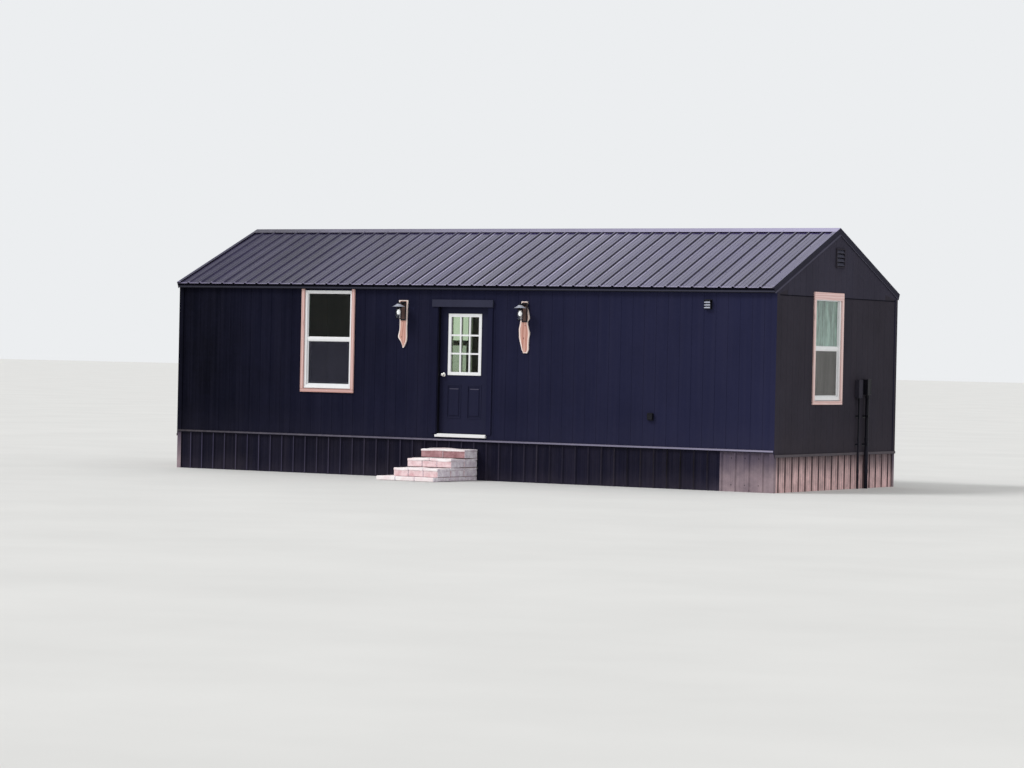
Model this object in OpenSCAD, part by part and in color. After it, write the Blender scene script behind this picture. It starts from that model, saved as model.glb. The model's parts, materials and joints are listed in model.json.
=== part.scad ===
// Long gabled cabin on block piers, with ribbed metal roof and skirt, grooved panel siding,
// single-hung windows, a glazed entrance door that swings in, and a stacked paver stair.
// X runs along the cabin, the front is at -Y, and Z = 0 is the lowest ground.

/* [Body] */
// Length over the end siding
body_l = 10973; // [8534:1:12192]
// Width over the front and back siding
body_w = 4267; // [3658:1:4877]
// Ground to the lower edge of the front siding
skirt_h = 634; // [580:1:900]
// Height of the front wall over the door frame
over_door_h = 228; // [150:1:500]
// How much lower the siding starts on the gable ends
end_drop = 68; // [42:1:90]
// Thickness of the panel siding
siding_t = 16; // [9:1:19]
// Thickness of the studs with the inside lining
stud_t = 101; // [76:1:152]
// Height of the panel joint below the underside of the eave, on the gable ends
seam_drop = 40; // [28:1:60]

/* [Roof] */
// Slope of the roof in degrees
roof_angle = 23.27; // [16:0.01:32]
// Thickness of the rafters with the sheathing
deck_t = 85; // [75:1:120]
// How far the rafter tails stand out over the front and back walls
tail_out = 50; // [30:1:60]
// How far the metal sheet stands out over the front and back walls
sheet_out = 98; // [90:1:140]
// Thickness of the fascia boards
fascia_t = 19; // [15:1:25]
// Height of the fascia board
fascia_h = 70; // [60:1:80]
// Length of each side of the ridge cap, along the slope
cap_side = 150; // [110:1:200]
// Width of the rake trim's flange on the roof
rake_flange = 60; // [50:1:90]
// Height of the rake trim's outer leg with its turned-out foot
rake_leg = 112; // [100:1:140]
// Height of the turned-out foot
rake_foot = 20; // [12:1:26]
// How far the foot stands out from the leg
foot_out = 12; // [6:1:16]

/* [Ribbed metal] */
// Spacing of the ribs
rib_pitch = 228.6; // [200:0.1:305]
// Shift of the roof's ribs from the middle of the cabin
roof_shift = -4; // [-110:1:110]
// Height of a rib
rib_h = 19; // [12:1:25]
// Width of a rib at its foot
rib_base = 54; // [40:1:70]
// Width of a rib at its crest
rib_crest = 18; // [12:1:30]
// Thickness of the sheet
sheet_t = 2; // [1.5:0.1:3]
// Thickness of folded metal trim
trim_t = 2; // [1.5:0.1:3]
// Shift of the front skirt's ribs from the middle of the cabin
skirt_shift = 38; // [0:1:110]

/* [Floor and piers] */
// Thickness of the joists with the deck
floor_t = 159; // [120:1:200]
// Height of the floor above the lower edge of the front siding
floor_up = 53; // [40:1:120]
// Width of a skid
skid_w = 89; // [60:1:140]
// Height of a skid
skid_h = 140; // [90:1:190]
// Distance of the outer piers from the front and back skirt
pier_side_gap = 320; // [60:1:600]
// Distance of the end piers from the end skirts
pier_end_gap = 72; // [40:1:400]
// Length of a block pier
pier_l = 397; // [300:1:500]
// Width of a block pier
pier_w = 194; // [150:1:300]

/* [Windows] */
// Width of a window frame
win_w = 914; // [760:1:1000]
// Height of a window frame
win_h = 1575; // [1400:1:1590]
// Top of a window frame below the underside of the eave
win_drop = 45; // [20:1:90]
// Front window's place along the wall
front_win_x = -2530; // [-4200:1:-1900]
// Distance of the back windows from the middle of the cabin
back_win_x = 2885; // [1500:1:4200]
// Distance of the end windows from the middle of the end wall, towards the front
end_win_y = 373; // [0:1:600]
// Width of the vinyl frame's face
vinyl_w = 41; // [30:1:50]
// Height of the vinyl frame's foot
vinyl_low = 55; // [40:1:70]
// Depth of the vinyl frame
vinyl_d = 92; // [90:1:100]
// Height of the meeting rail
rail_h = 54; // [46:1:80]
// Width of the lower sash's stiles
stile_w = 38; // [30:1:50]
// Thickness of the lower sash
sash_t = 24; // [16:1:28]
// Thickness of a glass unit
glass_t = 12; // [6:1:14]
// Width of the wooden side boards round a window
board_w = 57; // [40:1:90]
// Height of the wooden board under a window
sill_board_h = 55; // [40:1:90]
// Gap between a window and the board under it
sill_board_gap = 6; // [0:1:10]
// Height of the wooden board over an end window
head_board_h = 117; // [80:1:140]
// Thickness of the wooden boards round a window
board_t = 25; // [16:1:30]

/* [Door] */
// Middle of the door along the front wall
door_x = 20; // [-600:1:600]
// Width of the door slab
door_w = 910; // [810:1:960]
// Height of the door slab
door_h = 2006; // [1900:1:2032]
// Thickness of the door slab
door_t = 44.5; // [35:0.5:50]
// Gap between the door slab and its frame
door_gap = 7; // [6:0.5:8]
// Gap between the door slab and the threshold
sill_gap = 6; // [5:0.5:9]
// Thickness of the door jambs
jamb_t = 32; // [25:1:40]
// How far the stops stand in from the jambs
stop_w = 12; // [10:1:15]
// Thickness of the threshold
sill_t = 25; // [15:1:30]
// Height of the threshold's nosing
nosing_h = 36; // [28:1:60]
// Top of the nosing below the top of the threshold
nosing_drop = 14; // [0:1:20]
// How far the nosing runs past the door frame's opening
nosing_past = 4; // [0:1:20]
// How far the nosing stands out from the siding
nosing_out = 45; // [30:1:70]
// Width of the door casing
casing_w = 89; // [60:1:110]
// Thickness of the door casing
casing_t = 19; // [15:1:25]
// Height of the header board
header_h = 114; // [90:1:120]
// Thickness of the header board
header_t = 38; // [25:1:45]
// Bottom of the header board below the top of the door frame
header_down = 58; // [40:1:70]
// How far the header board runs past the casings
header_past = 9; // [0:1:30]

/* [Door glass and panels] */
// Width of the glazing frame
lite_w = 610; // [560:1:700]
// Height of the glazing frame
lite_h = 965; // [850:1:1020]
// Bottom of the glazing frame above the bottom of the door
lite_up = 918; // [880:1:940]
// Face width of the glazing frame
lite_face = 50; // [45:1:65]
// How far the glazing frame laps over the door
lite_lap = 40; // [30:1:42]
// How far the glazing frame stands out from the door
lite_proud = 12; // [8:1:16]
// Width of the glazing bars
bar_w = 26; // [18:1:34]
// Width of a lower panel
panel_w = 229; // [180:1:250]
// Height of a lower panel
panel_h = 483; // [400:1:520]
// Bottom of the lower panels above the bottom of the door
panel_up = 252; // [200:1:290]
// Distance of a lower panel's middle from the middle of the door
panel_out = 187; // [160:1:200]
// Width of the groove round a lower panel
groove_w = 26; // [16:1:34]
// Depth of the groove round a lower panel
groove_d = 6; // [3:1:9]

/* [Door furniture] */
// Distance of the knob from the free edge of the door
knob_backset = 70; // [60:1:85]
// Height of the knob above the bottom of the door
knob_up = 920; // [850:1:960]
// Radius of the knob
knob_r = 27; // [22:1:32]
// Radius of the rose behind the knob
rose_r = 33; // [28:1:38]
// How far the knob stands out from the door
knob_out = 62; // [50:1:70]
// Height of a hinge
hinge_h = 100; // [76:1:120]
// Distance of the end hinges' middles from the ends of the door
hinge_end = 180; // [150:1:250]
// Radius of a hinge's barrel
barrel_r = 6; // [5:0.5:7]
// Radius of a hinge pin
pin_r = 3; // [2:0.5:3.5]
// Thickness of a hinge leaf
leaf_t = 2; // [1.5:0.1:2.5]
// Width of a hinge leaf
leaf_w = 38; // [25:1:42]
// Gap between the parts of a hinge's barrel
barrel_gap = 0.5; // [0.4:0.1:1]
// Gap round a hinge pin
bore_gap = 0.3; // [0.2:0.1:0.6]

/* [Lights] */
// Distance of the left light from the middle of the door
left_light_out = 1100; // [900:1:1500]
// Distance of the right light from the middle of the door
right_light_out = 1138; // [900:1:1500]
// Top of the light boards below the underside of the eave
light_drop = 188; // [150:1:300]
// Thickness of the light boards
slab_t = 25; // [18:1:40]
// Width of a lantern's back plate
plate_w = 100; // [80:1:120]
// Height of a lantern's back plate
plate_h = 302; // [240:1:340]
// Thickness of a lantern's back plate
plate_t = 20; // [12:1:26]
// Distance of the lantern's middle from the light board
lantern_out = 145; // [120:1:170]
// Radius of the lantern's hood
hood_r = 100; // [70:1:110]
// Height of the lantern's hood
hood_h = 62; // [40:1:80]
// Radius of the lantern's glass
jar_r = 42; // [34:1:50]
// Height of the lantern's glass
jar_h = 152; // [120:1:180]

/* [Wall fittings] */
// Distance of the extractor hood from the right end of the cabin
hood_in = 1138; // [300:1:2000]
// Middle of the extractor hood below the underside of the eave
hood_drop = 201; // [140:1:300]
// Width of the extractor hood
hood_box_w = 100; // [80:1:140]
// Height of the extractor hood
hood_box_h = 136; // [100:1:180]
// Depth of the extractor hood
hood_box_d = 70; // [50:1:100]
// Distance of the outdoor socket from the right end of the cabin
socket_in = 2082; // [1000:1:3000]
// Middle of the outdoor socket above the lower edge of the front siding
socket_up = 443; // [300:1:600]
// Width of the outdoor socket's cover
socket_w = 96; // [70:1:120]
// Height of the outdoor socket's cover
socket_h = 114; // [90:1:150]
// Depth of the outdoor socket's cover
socket_d = 54; // [30:1:80]
// Width of the square gable louvre
louvre_w = 300; // [240:1:360]
// Middle of the gable louvre below the peak of the gable
louvre_down = 350; // [290:1:390]
// Width of the louvre's frame
louvre_edge = 20; // [12:1:30]
// Front edge of the pale service box, from the middle of the end wall
pale_box_y = 635; // [500:1:640]
// Bottom of the pale service box above the lower edge of the front siding
pale_box_up = 778; // [600:1:1000]
// Width of the pale service box
pale_box_w = 140; // [100:1:200]
// Height of the pale service box
pale_box_h = 280; // [200:1:360]
// Depth of the pale service box
pale_box_d = 76; // [64:1:120]
// Front edge of the black service box, from the middle of the end wall
black_box_y = 907; // [860:1:1000]
// Bottom of the black service box above the lower edge of the front siding
black_box_up = 824; // [600:1:1000]
// Width of the black service box
black_box_w = 130; // [100:1:200]
// Height of the black service box
black_box_h = 250; // [200:1:360]
// Depth of the black service box
black_box_d = 96; // [92:1:130]
// Radius of the thin conduit
thin_pipe_r = 14; // [8:1:18]
// Radius of the thick conduit
thick_pipe_r = 30; // [22:1:34]

/* [Steps] */
// Width of the steps
step_w = 813; // [700:1:1000]
// Height of one step
step_rise = 140; // [120:1:150]
// Depth of one tread
step_tread = 388; // [300:1:420]
// Middle of the steps, from the middle of the door
step_shift = -85; // [-150:1:150]
// How far the ground slab runs past the steps at the front and left
slab_past = 240; // [60:1:300]

/* [Hidden] */

half_l = body_l / 2;
half_w = body_w / 2;
wall_t = siding_t + stud_t;
skin_l = half_l - siding_t;
skin_w = half_w - siding_t;
deck_v = deck_t / cos(roof_angle);
wall_h = floor_up + sill_t + sill_gap + door_h + door_gap + jamb_t + over_door_h;
soffit_z = skirt_h + wall_h;
apex_z = deck_top_z(0);
slope_l = (half_w + sheet_out) / cos(roof_angle);
floor_z = skirt_h + floor_up;
end_siding_z = skirt_h - end_drop;
seam_z = soffit_z - seam_drop;
// Small gap where two pieces of one node meet
joint_gap = 0.5;
// Small gap where folded metal rests on the ribs
seat_gap = 0.3;
// Small gap between the roof deck and what it bears on or what lies on it
bearing_gap = 0.1;
// How far a cutting shape runs past what it cuts
cut = 10;
curve_fn = 48;
louvre_hole = louvre_w - 2 * louvre_edge;

// Underside and top of the roof deck at a distance from the ridge line
function soffit_at(y) = soffit_z + (half_w - abs(y)) * tan(roof_angle);
function deck_top_z(y) = soffit_at(y) + deck_v;

// Top of what carries the roof deck
function bearing_at(y) = soffit_at(y) - bearing_gap;

// A prism along X from a front-to-back outline of [y, z] points
module along_x(x0, x1, points) {
    translate([x0, 0, 0])
        rotate([90, 0, 90])
            linear_extrude(x1 - x0)
                polygon(points);
}

// A box between two corners
module box(low, high) {
    translate(low)
        cube(high - low);
}

module both_ends() {
    children();
    mirror([1, 0, 0])
        children();
}

module front_and_back() {
    children();
    mirror([0, 1, 0])
        children();
}

// Turns what is drawn on the front wall, outwards at -Y, to another wall
module on_back() {
    rotate([0, 0, 180])
        children();
}

module on_right() {
    translate([half_l - half_w, 0, 0])
        rotate([0, 0, 90])
            children();
}

module on_left() {
    mirror([1, 0, 0])
        on_right()
            children();
}

// Floor and piers
skid_pitch = skin_w - pier_side_gap - pier_w / 2;
pier_pitch = (skin_l - pier_end_gap - pier_l / 2) / 2;

module piers() {
    color("dimgray")
        for (row = [-1:1])
            for (col = [-2:2])
                translate([col * pier_pitch - pier_l / 2, row * skid_pitch - pier_w / 2, 0])
                    cube([pier_l, pier_w, floor_z - floor_t - skid_h]);
}

module floor() {
    color("burlywood") {
        box([-skin_l, -skin_w, floor_z - floor_t], [skin_l, skin_w, floor_z]);
        for (row = [-1:1])
            translate([-skin_l, row * skid_pitch - skid_w / 2, floor_z - floor_t - skid_h])
                cube([2 * skin_l, skid_w, skid_h]);
    }
}

// Walls
win_z = soffit_z - win_drop - win_h;
frame_half = door_w / 2 + door_gap + jamb_t;
slab_z = floor_z + sill_t + sill_gap;
frame_top_z = slab_z + door_h + door_gap + jamb_t;

// Front-to-back section of a long wall, with its top under the slope of the roof
function long_wall_section(outer, inner, bottom) = [
    [-outer, bottom],
    [-inner, bottom],
    [-inner, bearing_at(inner)],
    [-outer, bearing_at(outer)]
];

module front_stretch(x0, x1, bottom) {
    along_x(x0, x1, long_wall_section(skin_w, half_w - wall_t, bottom));
}

module window_hole(depth) {
    translate([-win_w / 2, -half_w - cut, win_z])
        cube([win_w, depth + 2 * cut, win_h]);
}

module front_wall_left() {
    color("tan")
        difference() {
            front_stretch(-skin_l, door_x - frame_half, floor_z);
            translate([front_win_x, 0, 0])
                window_hole(wall_t);
        }
}

module front_wall_right() {
    color("tan")
        front_stretch(door_x + frame_half, skin_l, floor_z);
}

module front_wall_over_door() {
    color("tan")
        front_stretch(door_x - frame_half, door_x + frame_half, frame_top_z);
}

module back_wall() {
    color("tan")
        on_back()
            difference() {
                front_stretch(-skin_l, skin_l, floor_z);
                both_ends()
                    translate([back_win_x, 0, 0])
                        window_hole(wall_t);
            }
}

// End wall of studs, pointed under the roof, with its window and louvre openings
module end_wall() {
    inner = half_w - wall_t;
    difference() {
        along_x(half_l - wall_t, skin_l, [
            [-inner, floor_z],
            [inner, floor_z],
            [inner, bearing_at(inner)],
            [0, bearing_at(0)],
            [-inner, bearing_at(inner)]
        ]);
        end_openings();
    }
}

module end_openings() {
    on_right()
        translate([-end_win_y, 0, 0])
            window_hole(wall_t);
    translate([half_l - wall_t - cut, -louvre_hole / 2, soffit_at(0) - louvre_down - louvre_hole / 2])
        cube([wall_t + 2 * cut, louvre_hole, louvre_hole]);
}

module end_walls() {
    color("tan")
        both_ends()
            end_wall();
}

// Panel siding
module long_siding() {
    along_x(-half_l, half_l, long_wall_section(half_w, skin_w, skirt_h));
}

module front_siding() {
    color([0.12, 0.125, 0.19])
        difference() {
            long_siding();
            translate([front_win_x, 0, 0])
                window_hole(siding_t);
            box([door_x - frame_half, -half_w - cut, floor_z],
                [door_x + frame_half, cut - skin_w, frame_top_z]);
        }
}

module back_siding() {
    color([0.12, 0.125, 0.19])
        on_back()
            difference() {
                long_siding();
                both_ends()
                    translate([back_win_x, 0, 0])
                        window_hole(siding_t);
            }
}

module end_siding() {
    color([0.2, 0.19, 0.21])
        both_ends()
            difference() {
                union() {
                    box([skin_l, -skin_w, end_siding_z], [half_l, skin_w, seam_z]);
                    along_x(skin_l, half_l, [
                        [-skin_w, seam_z + trim_t],
                        [skin_w, seam_z + trim_t],
                        [skin_w, bearing_at(skin_w)],
                        [0, bearing_at(0)],
                        [-skin_w, bearing_at(skin_w)]
                    ]);
                }
                end_openings();
            }
}

// Folded drip trims over the skirt and in the panel joint of the gable ends
drip_out = 26;
drip_h = 38;
seam_out = 5;
seam_h = 12;
corner_w = 75;
corner_t = 12;
corner_top = 20;

module drip_trim(half_run, depth, top) {
    lip = -depth - drip_out;
    along_x(-half_run, half_run, [
        [siding_t - depth, top],
        [lip, top],
        [lip, top - drip_h],
        [lip + trim_t, top - drip_h],
        [lip + trim_t, top - trim_t],
        [siding_t - depth, top - trim_t]
    ]);
}

module seam_trim() {
    lip = half_l + seam_out;
    translate([0, skin_w, seam_z])
        rotate([90, 0, 0])
            linear_extrude(2 * skin_w)
                polygon([
                    [skin_l, 0],
                    [lip - trim_t, 0],
                    [lip - trim_t, -seam_h],
                    [lip, -seam_h],
                    [lip, trim_t],
                    [skin_l, trim_t]
                ]);
}

// Space taken by an end window with the boards round it
module end_window_space() {
    on_right()
        translate([-end_win_y - win_w / 2 - board_w, -half_w - board_t, win_z])
            cube([win_w + 2 * board_w, board_t, win_h + head_board_h]);
}

module wall_flashings() {
    color("dimgray") {
        front_and_back()
            drip_trim(half_l, half_w, skirt_h);
        both_ends() {
            on_right()
                drip_trim(skin_w + crest_h, half_w, end_siding_z);
            difference() {
                seam_trim();
                end_openings();
                end_window_space();
                front_and_back()
                    corner_end_leg();
            }
        }
    }
}

// Corner trims over the siding, and folded ones over the ribs of the skirt
module corner_end_leg() {
    box([half_l, -half_w - corner_t, end_siding_z],
        [half_l + corner_t, corner_w - half_w, soffit_z - corner_top]);
}

module siding_corner() {
    box([half_l - corner_w, -half_w - corner_t, skirt_h], [half_l, -half_w, soffit_z - corner_top]);
    corner_end_leg();
}

module skirt_corner() {
    x = skin_l + crest_h;
    y = -skin_w - crest_h;
    low_top = end_siding_z - trim_t;
    box([x - corner_w, y - trim_t, 0], [half_l, y, skirt_h - trim_t]);
    box([half_l, y - trim_t, 0], [x, y, low_top]);
    box([x, y - trim_t, 0], [x + trim_t, y + corner_w, low_top]);
}

module corner_trims() {
    color([0.15, 0.15, 0.2])
        front_and_back()
            both_ends() {
                siding_corner();
                skirt_corner();
            }
}

// Roof
module front_deck() {
    end = half_w + tail_out;
    along_x(-half_l, half_l, [
        [-end, soffit_at(end)],
        [0, soffit_at(0)],
        [0, deck_top_z(0)],
        [-end, deck_top_z(end)]
    ]);
}

module front_roof_deck() {
    color("peru")
        front_deck();
}

module back_roof_deck() {
    color("peru")
        mirror([0, 1, 0])
            front_deck();
}

// Outline of a ribbed sheet, from one end to the other, with ribs from first to last
function rib_line(first, last, shift) = [
    for (k = [first:last])
        for (p = [[-rib_base / 2, 0], [-rib_crest / 2, rib_h], [rib_crest / 2, rib_h], [rib_base / 2, 0]])
            [k * rib_pitch + shift + p[0], p[1]]
];

function reversed(list) = [for (i = [len(list) - 1:-1:0]) list[i]];

module sheet_outline(x0, x1, first, last, shift) {
    line = concat([[x0, 0]], rib_line(first, last, shift), [[x1, 0]]);
    polygon(concat(
        line,
        [for (p = reversed(line)) [p[0], p[1] + sheet_t]]
    ));
}

// Last whole rib that fits in a half length, counted from the middle
function last_rib(half, shift) = floor((half - rib_base / 2 - 1 - shift) / rib_pitch);

// Height of the rib crests over the back of the sheet
crest_h = rib_h + sheet_t;

ridge_gap = 12;

// Runs an outline of [x, height over the deck] down the front slope, from a distance below the peak
module down_slope(from) {
    translate([0, 0, apex_z])
        rotate([90 + roof_angle, 0, 0])
            translate([0, 0, from])
                linear_extrude(slope_l - from)
                    children();
}

module roof_sheet() {
    n_low = -last_rib(half_l, -roof_shift);
    n_high = last_rib(half_l, roof_shift);
    down_slope(ridge_gap)
        translate([0, bearing_gap])
            sheet_outline(-half_l, half_l, n_low, n_high, roof_shift);
}

module roof_sheets() {
    color([0.26, 0.25, 0.33])
        front_and_back()
            roof_sheet();
}

// Point at a distance down the front slope and square to it, as [y, z]
function on_slope(down, up) = [
    -down * cos(roof_angle) - up * sin(roof_angle),
    apex_z - down * sin(roof_angle) + up * cos(roof_angle)
];

// Inner face of the trims over the ends of the roof
rake_x = half_l + bearing_gap;

module ridge_cap() {
    lift = crest_h + bearing_gap + seat_gap;
    edge_low = on_slope(cap_side, lift);
    edge_high = on_slope(cap_side, lift + trim_t);
    run = rake_x + trim_t;
    color([0.3, 0.29, 0.37])
        along_x(-run, run, [
            [0, apex_z + (lift + trim_t) / cos(roof_angle)],
            edge_high,
            edge_low,
            [0, apex_z + lift / cos(roof_angle)],
            [-edge_low[0], edge_low[1]],
            [-edge_high[0], edge_high[1]]
        ]);
}

// Boards over the ends of the rafter tails
fascia_drop = 4;

module roof_edge_boards() {
    face = half_w + tail_out;
    top = deck_top_z(face + fascia_t) - fascia_drop;
    run = half_l - joint_gap;
    color([0.16, 0.155, 0.2])
        front_and_back()
            box([-run, -face - fascia_t, top - fascia_h], [run, -face, top]);
}

// Folded trims over the edges of the sheets and the deck, turned out at the foot
module rake_trims() {
    low = crest_h + bearing_gap + seat_gap;
    high = low + trim_t;
    foot = high - rake_leg;
    color([0.2, 0.19, 0.25])
        both_ends()
            front_and_back() {
                down_slope(cap_side + joint_gap)
                    polygon([
                        [half_l - rake_flange, low],
                        [rake_x + trim_t, low],
                        [rake_x + trim_t, high],
                        [half_l - rake_flange, high]
                    ]);
                intersection() {
                    down_slope(-high)
                        polygon([
                            [rake_x, low],
                            [rake_x, foot + rake_foot],
                            [rake_x + foot_out, foot],
                            [rake_x + foot_out + trim_t, foot],
                            [rake_x + trim_t, foot + rake_foot],
                            [rake_x + trim_t, low]
                        ]);
                    box([skin_l, -body_w, skirt_h], [rake_x + foot_out + cut, -joint_gap, 2 * apex_z]);
                }
            }
}

// Skirt
module skirt_sheet(half, shift, top) {
    n_low = -last_rib(half, -shift);
    n_high = last_rib(half, shift);
    translate([0, -skin_w, 0])
        mirror([0, 1, 0])
            linear_extrude(top - trim_t)
                sheet_outline(-half, half, n_low, n_high, shift);
}

module front_skirt() {
    color([0.16, 0.16, 0.22])
        skirt_sheet(skin_l, skirt_shift, skirt_h);
}

module back_skirt() {
    color([0.16, 0.16, 0.22])
        on_back()
            skirt_sheet(skin_l, 0, skirt_h);
}

module end_skirts() {
    color([0.45, 0.38, 0.4]) {
        on_right()
            skirt_sheet(skin_w, rib_pitch / 2, end_siding_z);
        on_left()
            skirt_sheet(skin_w, rib_pitch / 2, end_siding_z);
    }
}

// Windows, drawn for the front wall at x = 0 and then set in place
rail_up = 5.5;
rail_z = win_z + (win_h - rail_h) / 2 + rail_up;
clear_w = win_w - 2 * vinyl_w;
clear_z = win_z + vinyl_low;
upper_z = rail_z + rail_h;
upper_h = win_z + win_h - vinyl_w - upper_z;
lower_set = 58;
upper_set = 40;
rail_set = 12;
sash_gap = 3;
sash_lap = 20;
track = 4;

module at_front_window() {
    translate([front_win_x, 0, 0])
        children();
}

module at_back_windows() {
    on_back()
        both_ends()
            translate([back_win_x, 0, 0])
                children();
}

module at_end_windows() {
    on_right()
        translate([-end_win_y, 0, 0])
            children();
    on_left()
        translate([-end_win_y, 0, 0])
            children();
}

module at_all_windows() {
    at_front_window()
        children();
    at_back_windows()
        children();
    at_end_windows()
        children();
}

module vinyl_frame() {
    translate([0, -half_w, 0])
        difference() {
            translate([-win_w / 2, 0, win_z])
                cube([win_w, vinyl_d, win_h]);
            translate([-clear_w / 2, -cut, clear_z])
                cube([clear_w, vinyl_d + 2 * cut, rail_z - clear_z]);
            translate([-clear_w / 2, -cut, upper_z])
                cube([clear_w, vinyl_d + 2 * cut, upper_h]);
            translate([-clear_w / 2, -cut, rail_z - cut])
                cube([clear_w, cut + rail_set, rail_h + 2 * cut]);
            translate([-clear_w / 2, lower_set - track, rail_z - cut])
                cube([clear_w, vinyl_d, rail_h - sash_lap + track + cut]);
        }
}

module window_frames() {
    color("white")
        at_all_windows()
            vinyl_frame();
}

sash_w = clear_w - 2 * sash_gap;
sash_z = clear_z;
sash_h = upper_z - sash_lap - sash_z;
sash_rail = 50;

module lower_sash() {
    translate([0, lower_set - half_w, 0])
        difference() {
            translate([-sash_w / 2, 0, sash_z])
                cube([sash_w, sash_t, sash_h]);
            translate([stile_w - sash_w / 2, -cut, sash_z + sash_rail])
                cube([sash_w - 2 * stile_w, sash_t + 2 * cut, sash_h - 2 * sash_rail]);
        }
}

module lower_sashes() {
    color("white")
        at_all_windows()
            lower_sash();
}

module glass_panes() {
    translate([-clear_w / 2, upper_set - half_w, upper_z])
        cube([clear_w, glass_t, upper_h]);
    translate([stile_w - sash_w / 2, lower_set - half_w + (sash_t - glass_t) / 2, sash_z + sash_rail])
        cube([sash_w - 2 * stile_w, glass_t, sash_h - 2 * sash_rail]);
}

module window_glass() {
    color([0.5, 0.6, 0.6, 0.5])
        at_all_windows()
            glass_panes();
}

// Half screen in front of the lower sash
screen_t = 8;
screen_set = 30;
screen_edge = 24;
screen_top = 10;
mesh_set = 3;

module half_screen() {
    h = rail_z - sash_z;
    translate([0, screen_set - half_w, 0])
        difference() {
            translate([-clear_w / 2, 0, sash_z])
                cube([clear_w, screen_t, h]);
            for (y = [-cut, screen_t - mesh_set])
                translate([screen_edge - clear_w / 2, y, sash_z + screen_edge])
                    cube([clear_w - 2 * screen_edge, cut + mesh_set, h - screen_edge - screen_top]);
        }
}

module window_screens() {
    color([0.3, 0.3, 0.32])
        at_all_windows()
            half_screen();
}

// Wooden boards round the windows
module side_boards(top) {
    low = win_z - sill_board_gap;
    for (side = [-1, 1])
        translate([side * (win_w + board_w) / 2 - board_w / 2, -half_w - board_t, low])
            cube([board_w, board_t, top - low]);
    translate([-win_w / 2 - board_w, -half_w - board_t, low - sill_board_h])
        cube([win_w + 2 * board_w, board_t, sill_board_h]);
}

module end_window_boards() {
    head_z = win_z + win_h - vinyl_w;
    side_boards(head_z);
    translate([-win_w / 2 - board_w, -half_w - board_t, head_z])
        cube([win_w + 2 * board_w, board_t, head_board_h]);
}

module window_boards() {
    color([0.78, 0.52, 0.42]) {
        at_front_window()
            side_boards(bearing_at(half_w + board_t));
        at_back_windows()
            side_boards(bearing_at(half_w + board_t));
        at_end_windows()
            end_window_boards();
    }
}

// Louvre of sloping slats in a square frame on each gable
louvre_t = 22;
slat_n = 4;

slat_t = 4;
slat_set = 1;

module louvre() {
    pitch = louvre_hole / slat_n;
    drop = pitch * 0.8;
    translate([half_l, 0, soffit_at(0) - louvre_down]) {
        difference() {
            box([0, -louvre_w / 2, -louvre_w / 2], [louvre_t, louvre_w / 2, louvre_w / 2]);
            box([-cut, -louvre_hole / 2, -louvre_hole / 2],
                [louvre_t + cut, louvre_hole / 2, louvre_hole / 2]);
        }
        for (i = [1:slat_n])
            translate([0, louvre_hole / 2, i * pitch - louvre_hole / 2 - slat_t])
                rotate([90, 0, 0])
                    linear_extrude(louvre_hole)
                        polygon([
                            [slat_set, 0],
                            [slat_set, -slat_t],
                            [louvre_t - slat_set, -drop],
                            [louvre_t - slat_set, slat_t - drop]
                        ]);
    }
}

module gable_louvres() {
    color([0.17, 0.165, 0.2])
        both_ends()
            louvre();
}

// Door frame with its stops, as two jambs and a head
door_half = door_w / 2 + door_gap;
door_in_y = wall_t - half_w;
stop_y = door_in_y - door_t - sill_gap;

module jamb_section() {
    polygon([
        [door_half, stop_y],
        [door_half - stop_w, stop_y],
        [door_half - stop_w, -half_w],
        [frame_half, -half_w],
        [frame_half, door_in_y],
        [door_half, door_in_y]
    ]);
}

module door_frame() {
    head_z = slab_z + door_h + door_gap;
    stop_half = door_half - stop_w - joint_gap;
    color([0.11, 0.115, 0.17])
        translate([door_x, 0, 0]) {
            both_ends()
                translate([0, 0, floor_z])
                    linear_extrude(head_z - floor_z - joint_gap)
                        jamb_section();
            box([-frame_half, -half_w, head_z], [frame_half, door_in_y, frame_top_z]);
            box([-stop_half, -half_w, head_z - stop_w], [stop_half, stop_y, head_z]);
        }
}

// Threshold with its nosing
module door_sill() {
    inner = door_half - stop_w;
    past = door_half + nosing_past;
    top = floor_z + sill_t;
    nosing_z = top - nosing_drop;
    color("whitesmoke")
        translate([door_x, 0, 0]) {
            box([-inner, -half_w, floor_z], [inner, door_in_y, top]);
            box([-past, -half_w - nosing_out, nosing_z - nosing_h], [past, -half_w, nosing_z]);
        }
}

// Flat casings with a thicker header board over them
module door_casing() {
    foot = floor_z + sill_t;
    header_z = frame_top_z - header_down;
    outer = door_half + casing_w;
    color([0.13, 0.135, 0.2])
        translate([door_x, 0, 0]) {
            both_ends()
                box([door_half, -half_w - casing_t, foot], [outer, -half_w, header_z - joint_gap]);
            box([-outer - header_past, -half_w - header_t, header_z],
                [outer + header_past, -half_w, header_z + header_h]);
        }
}

// Door slab, drawn with its middle at door_x and its inside face level with the frame
hole_w = lite_w - 2 * lite_lap;
hole_h = lite_h - 2 * lite_lap;
clear_lw = lite_w - 2 * lite_face;
clear_lh = lite_h - 2 * lite_face;
door_out_y = door_in_y - door_t;
slab_mid_y = door_in_y - door_t / 2;
lite_z = slab_z + lite_up;

module panel_groove() {
    difference() {
        square([panel_w, panel_h]);
        translate([groove_w, groove_w])
            square([panel_w - 2 * groove_w, panel_h - 2 * groove_w]);
    }
}

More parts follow.
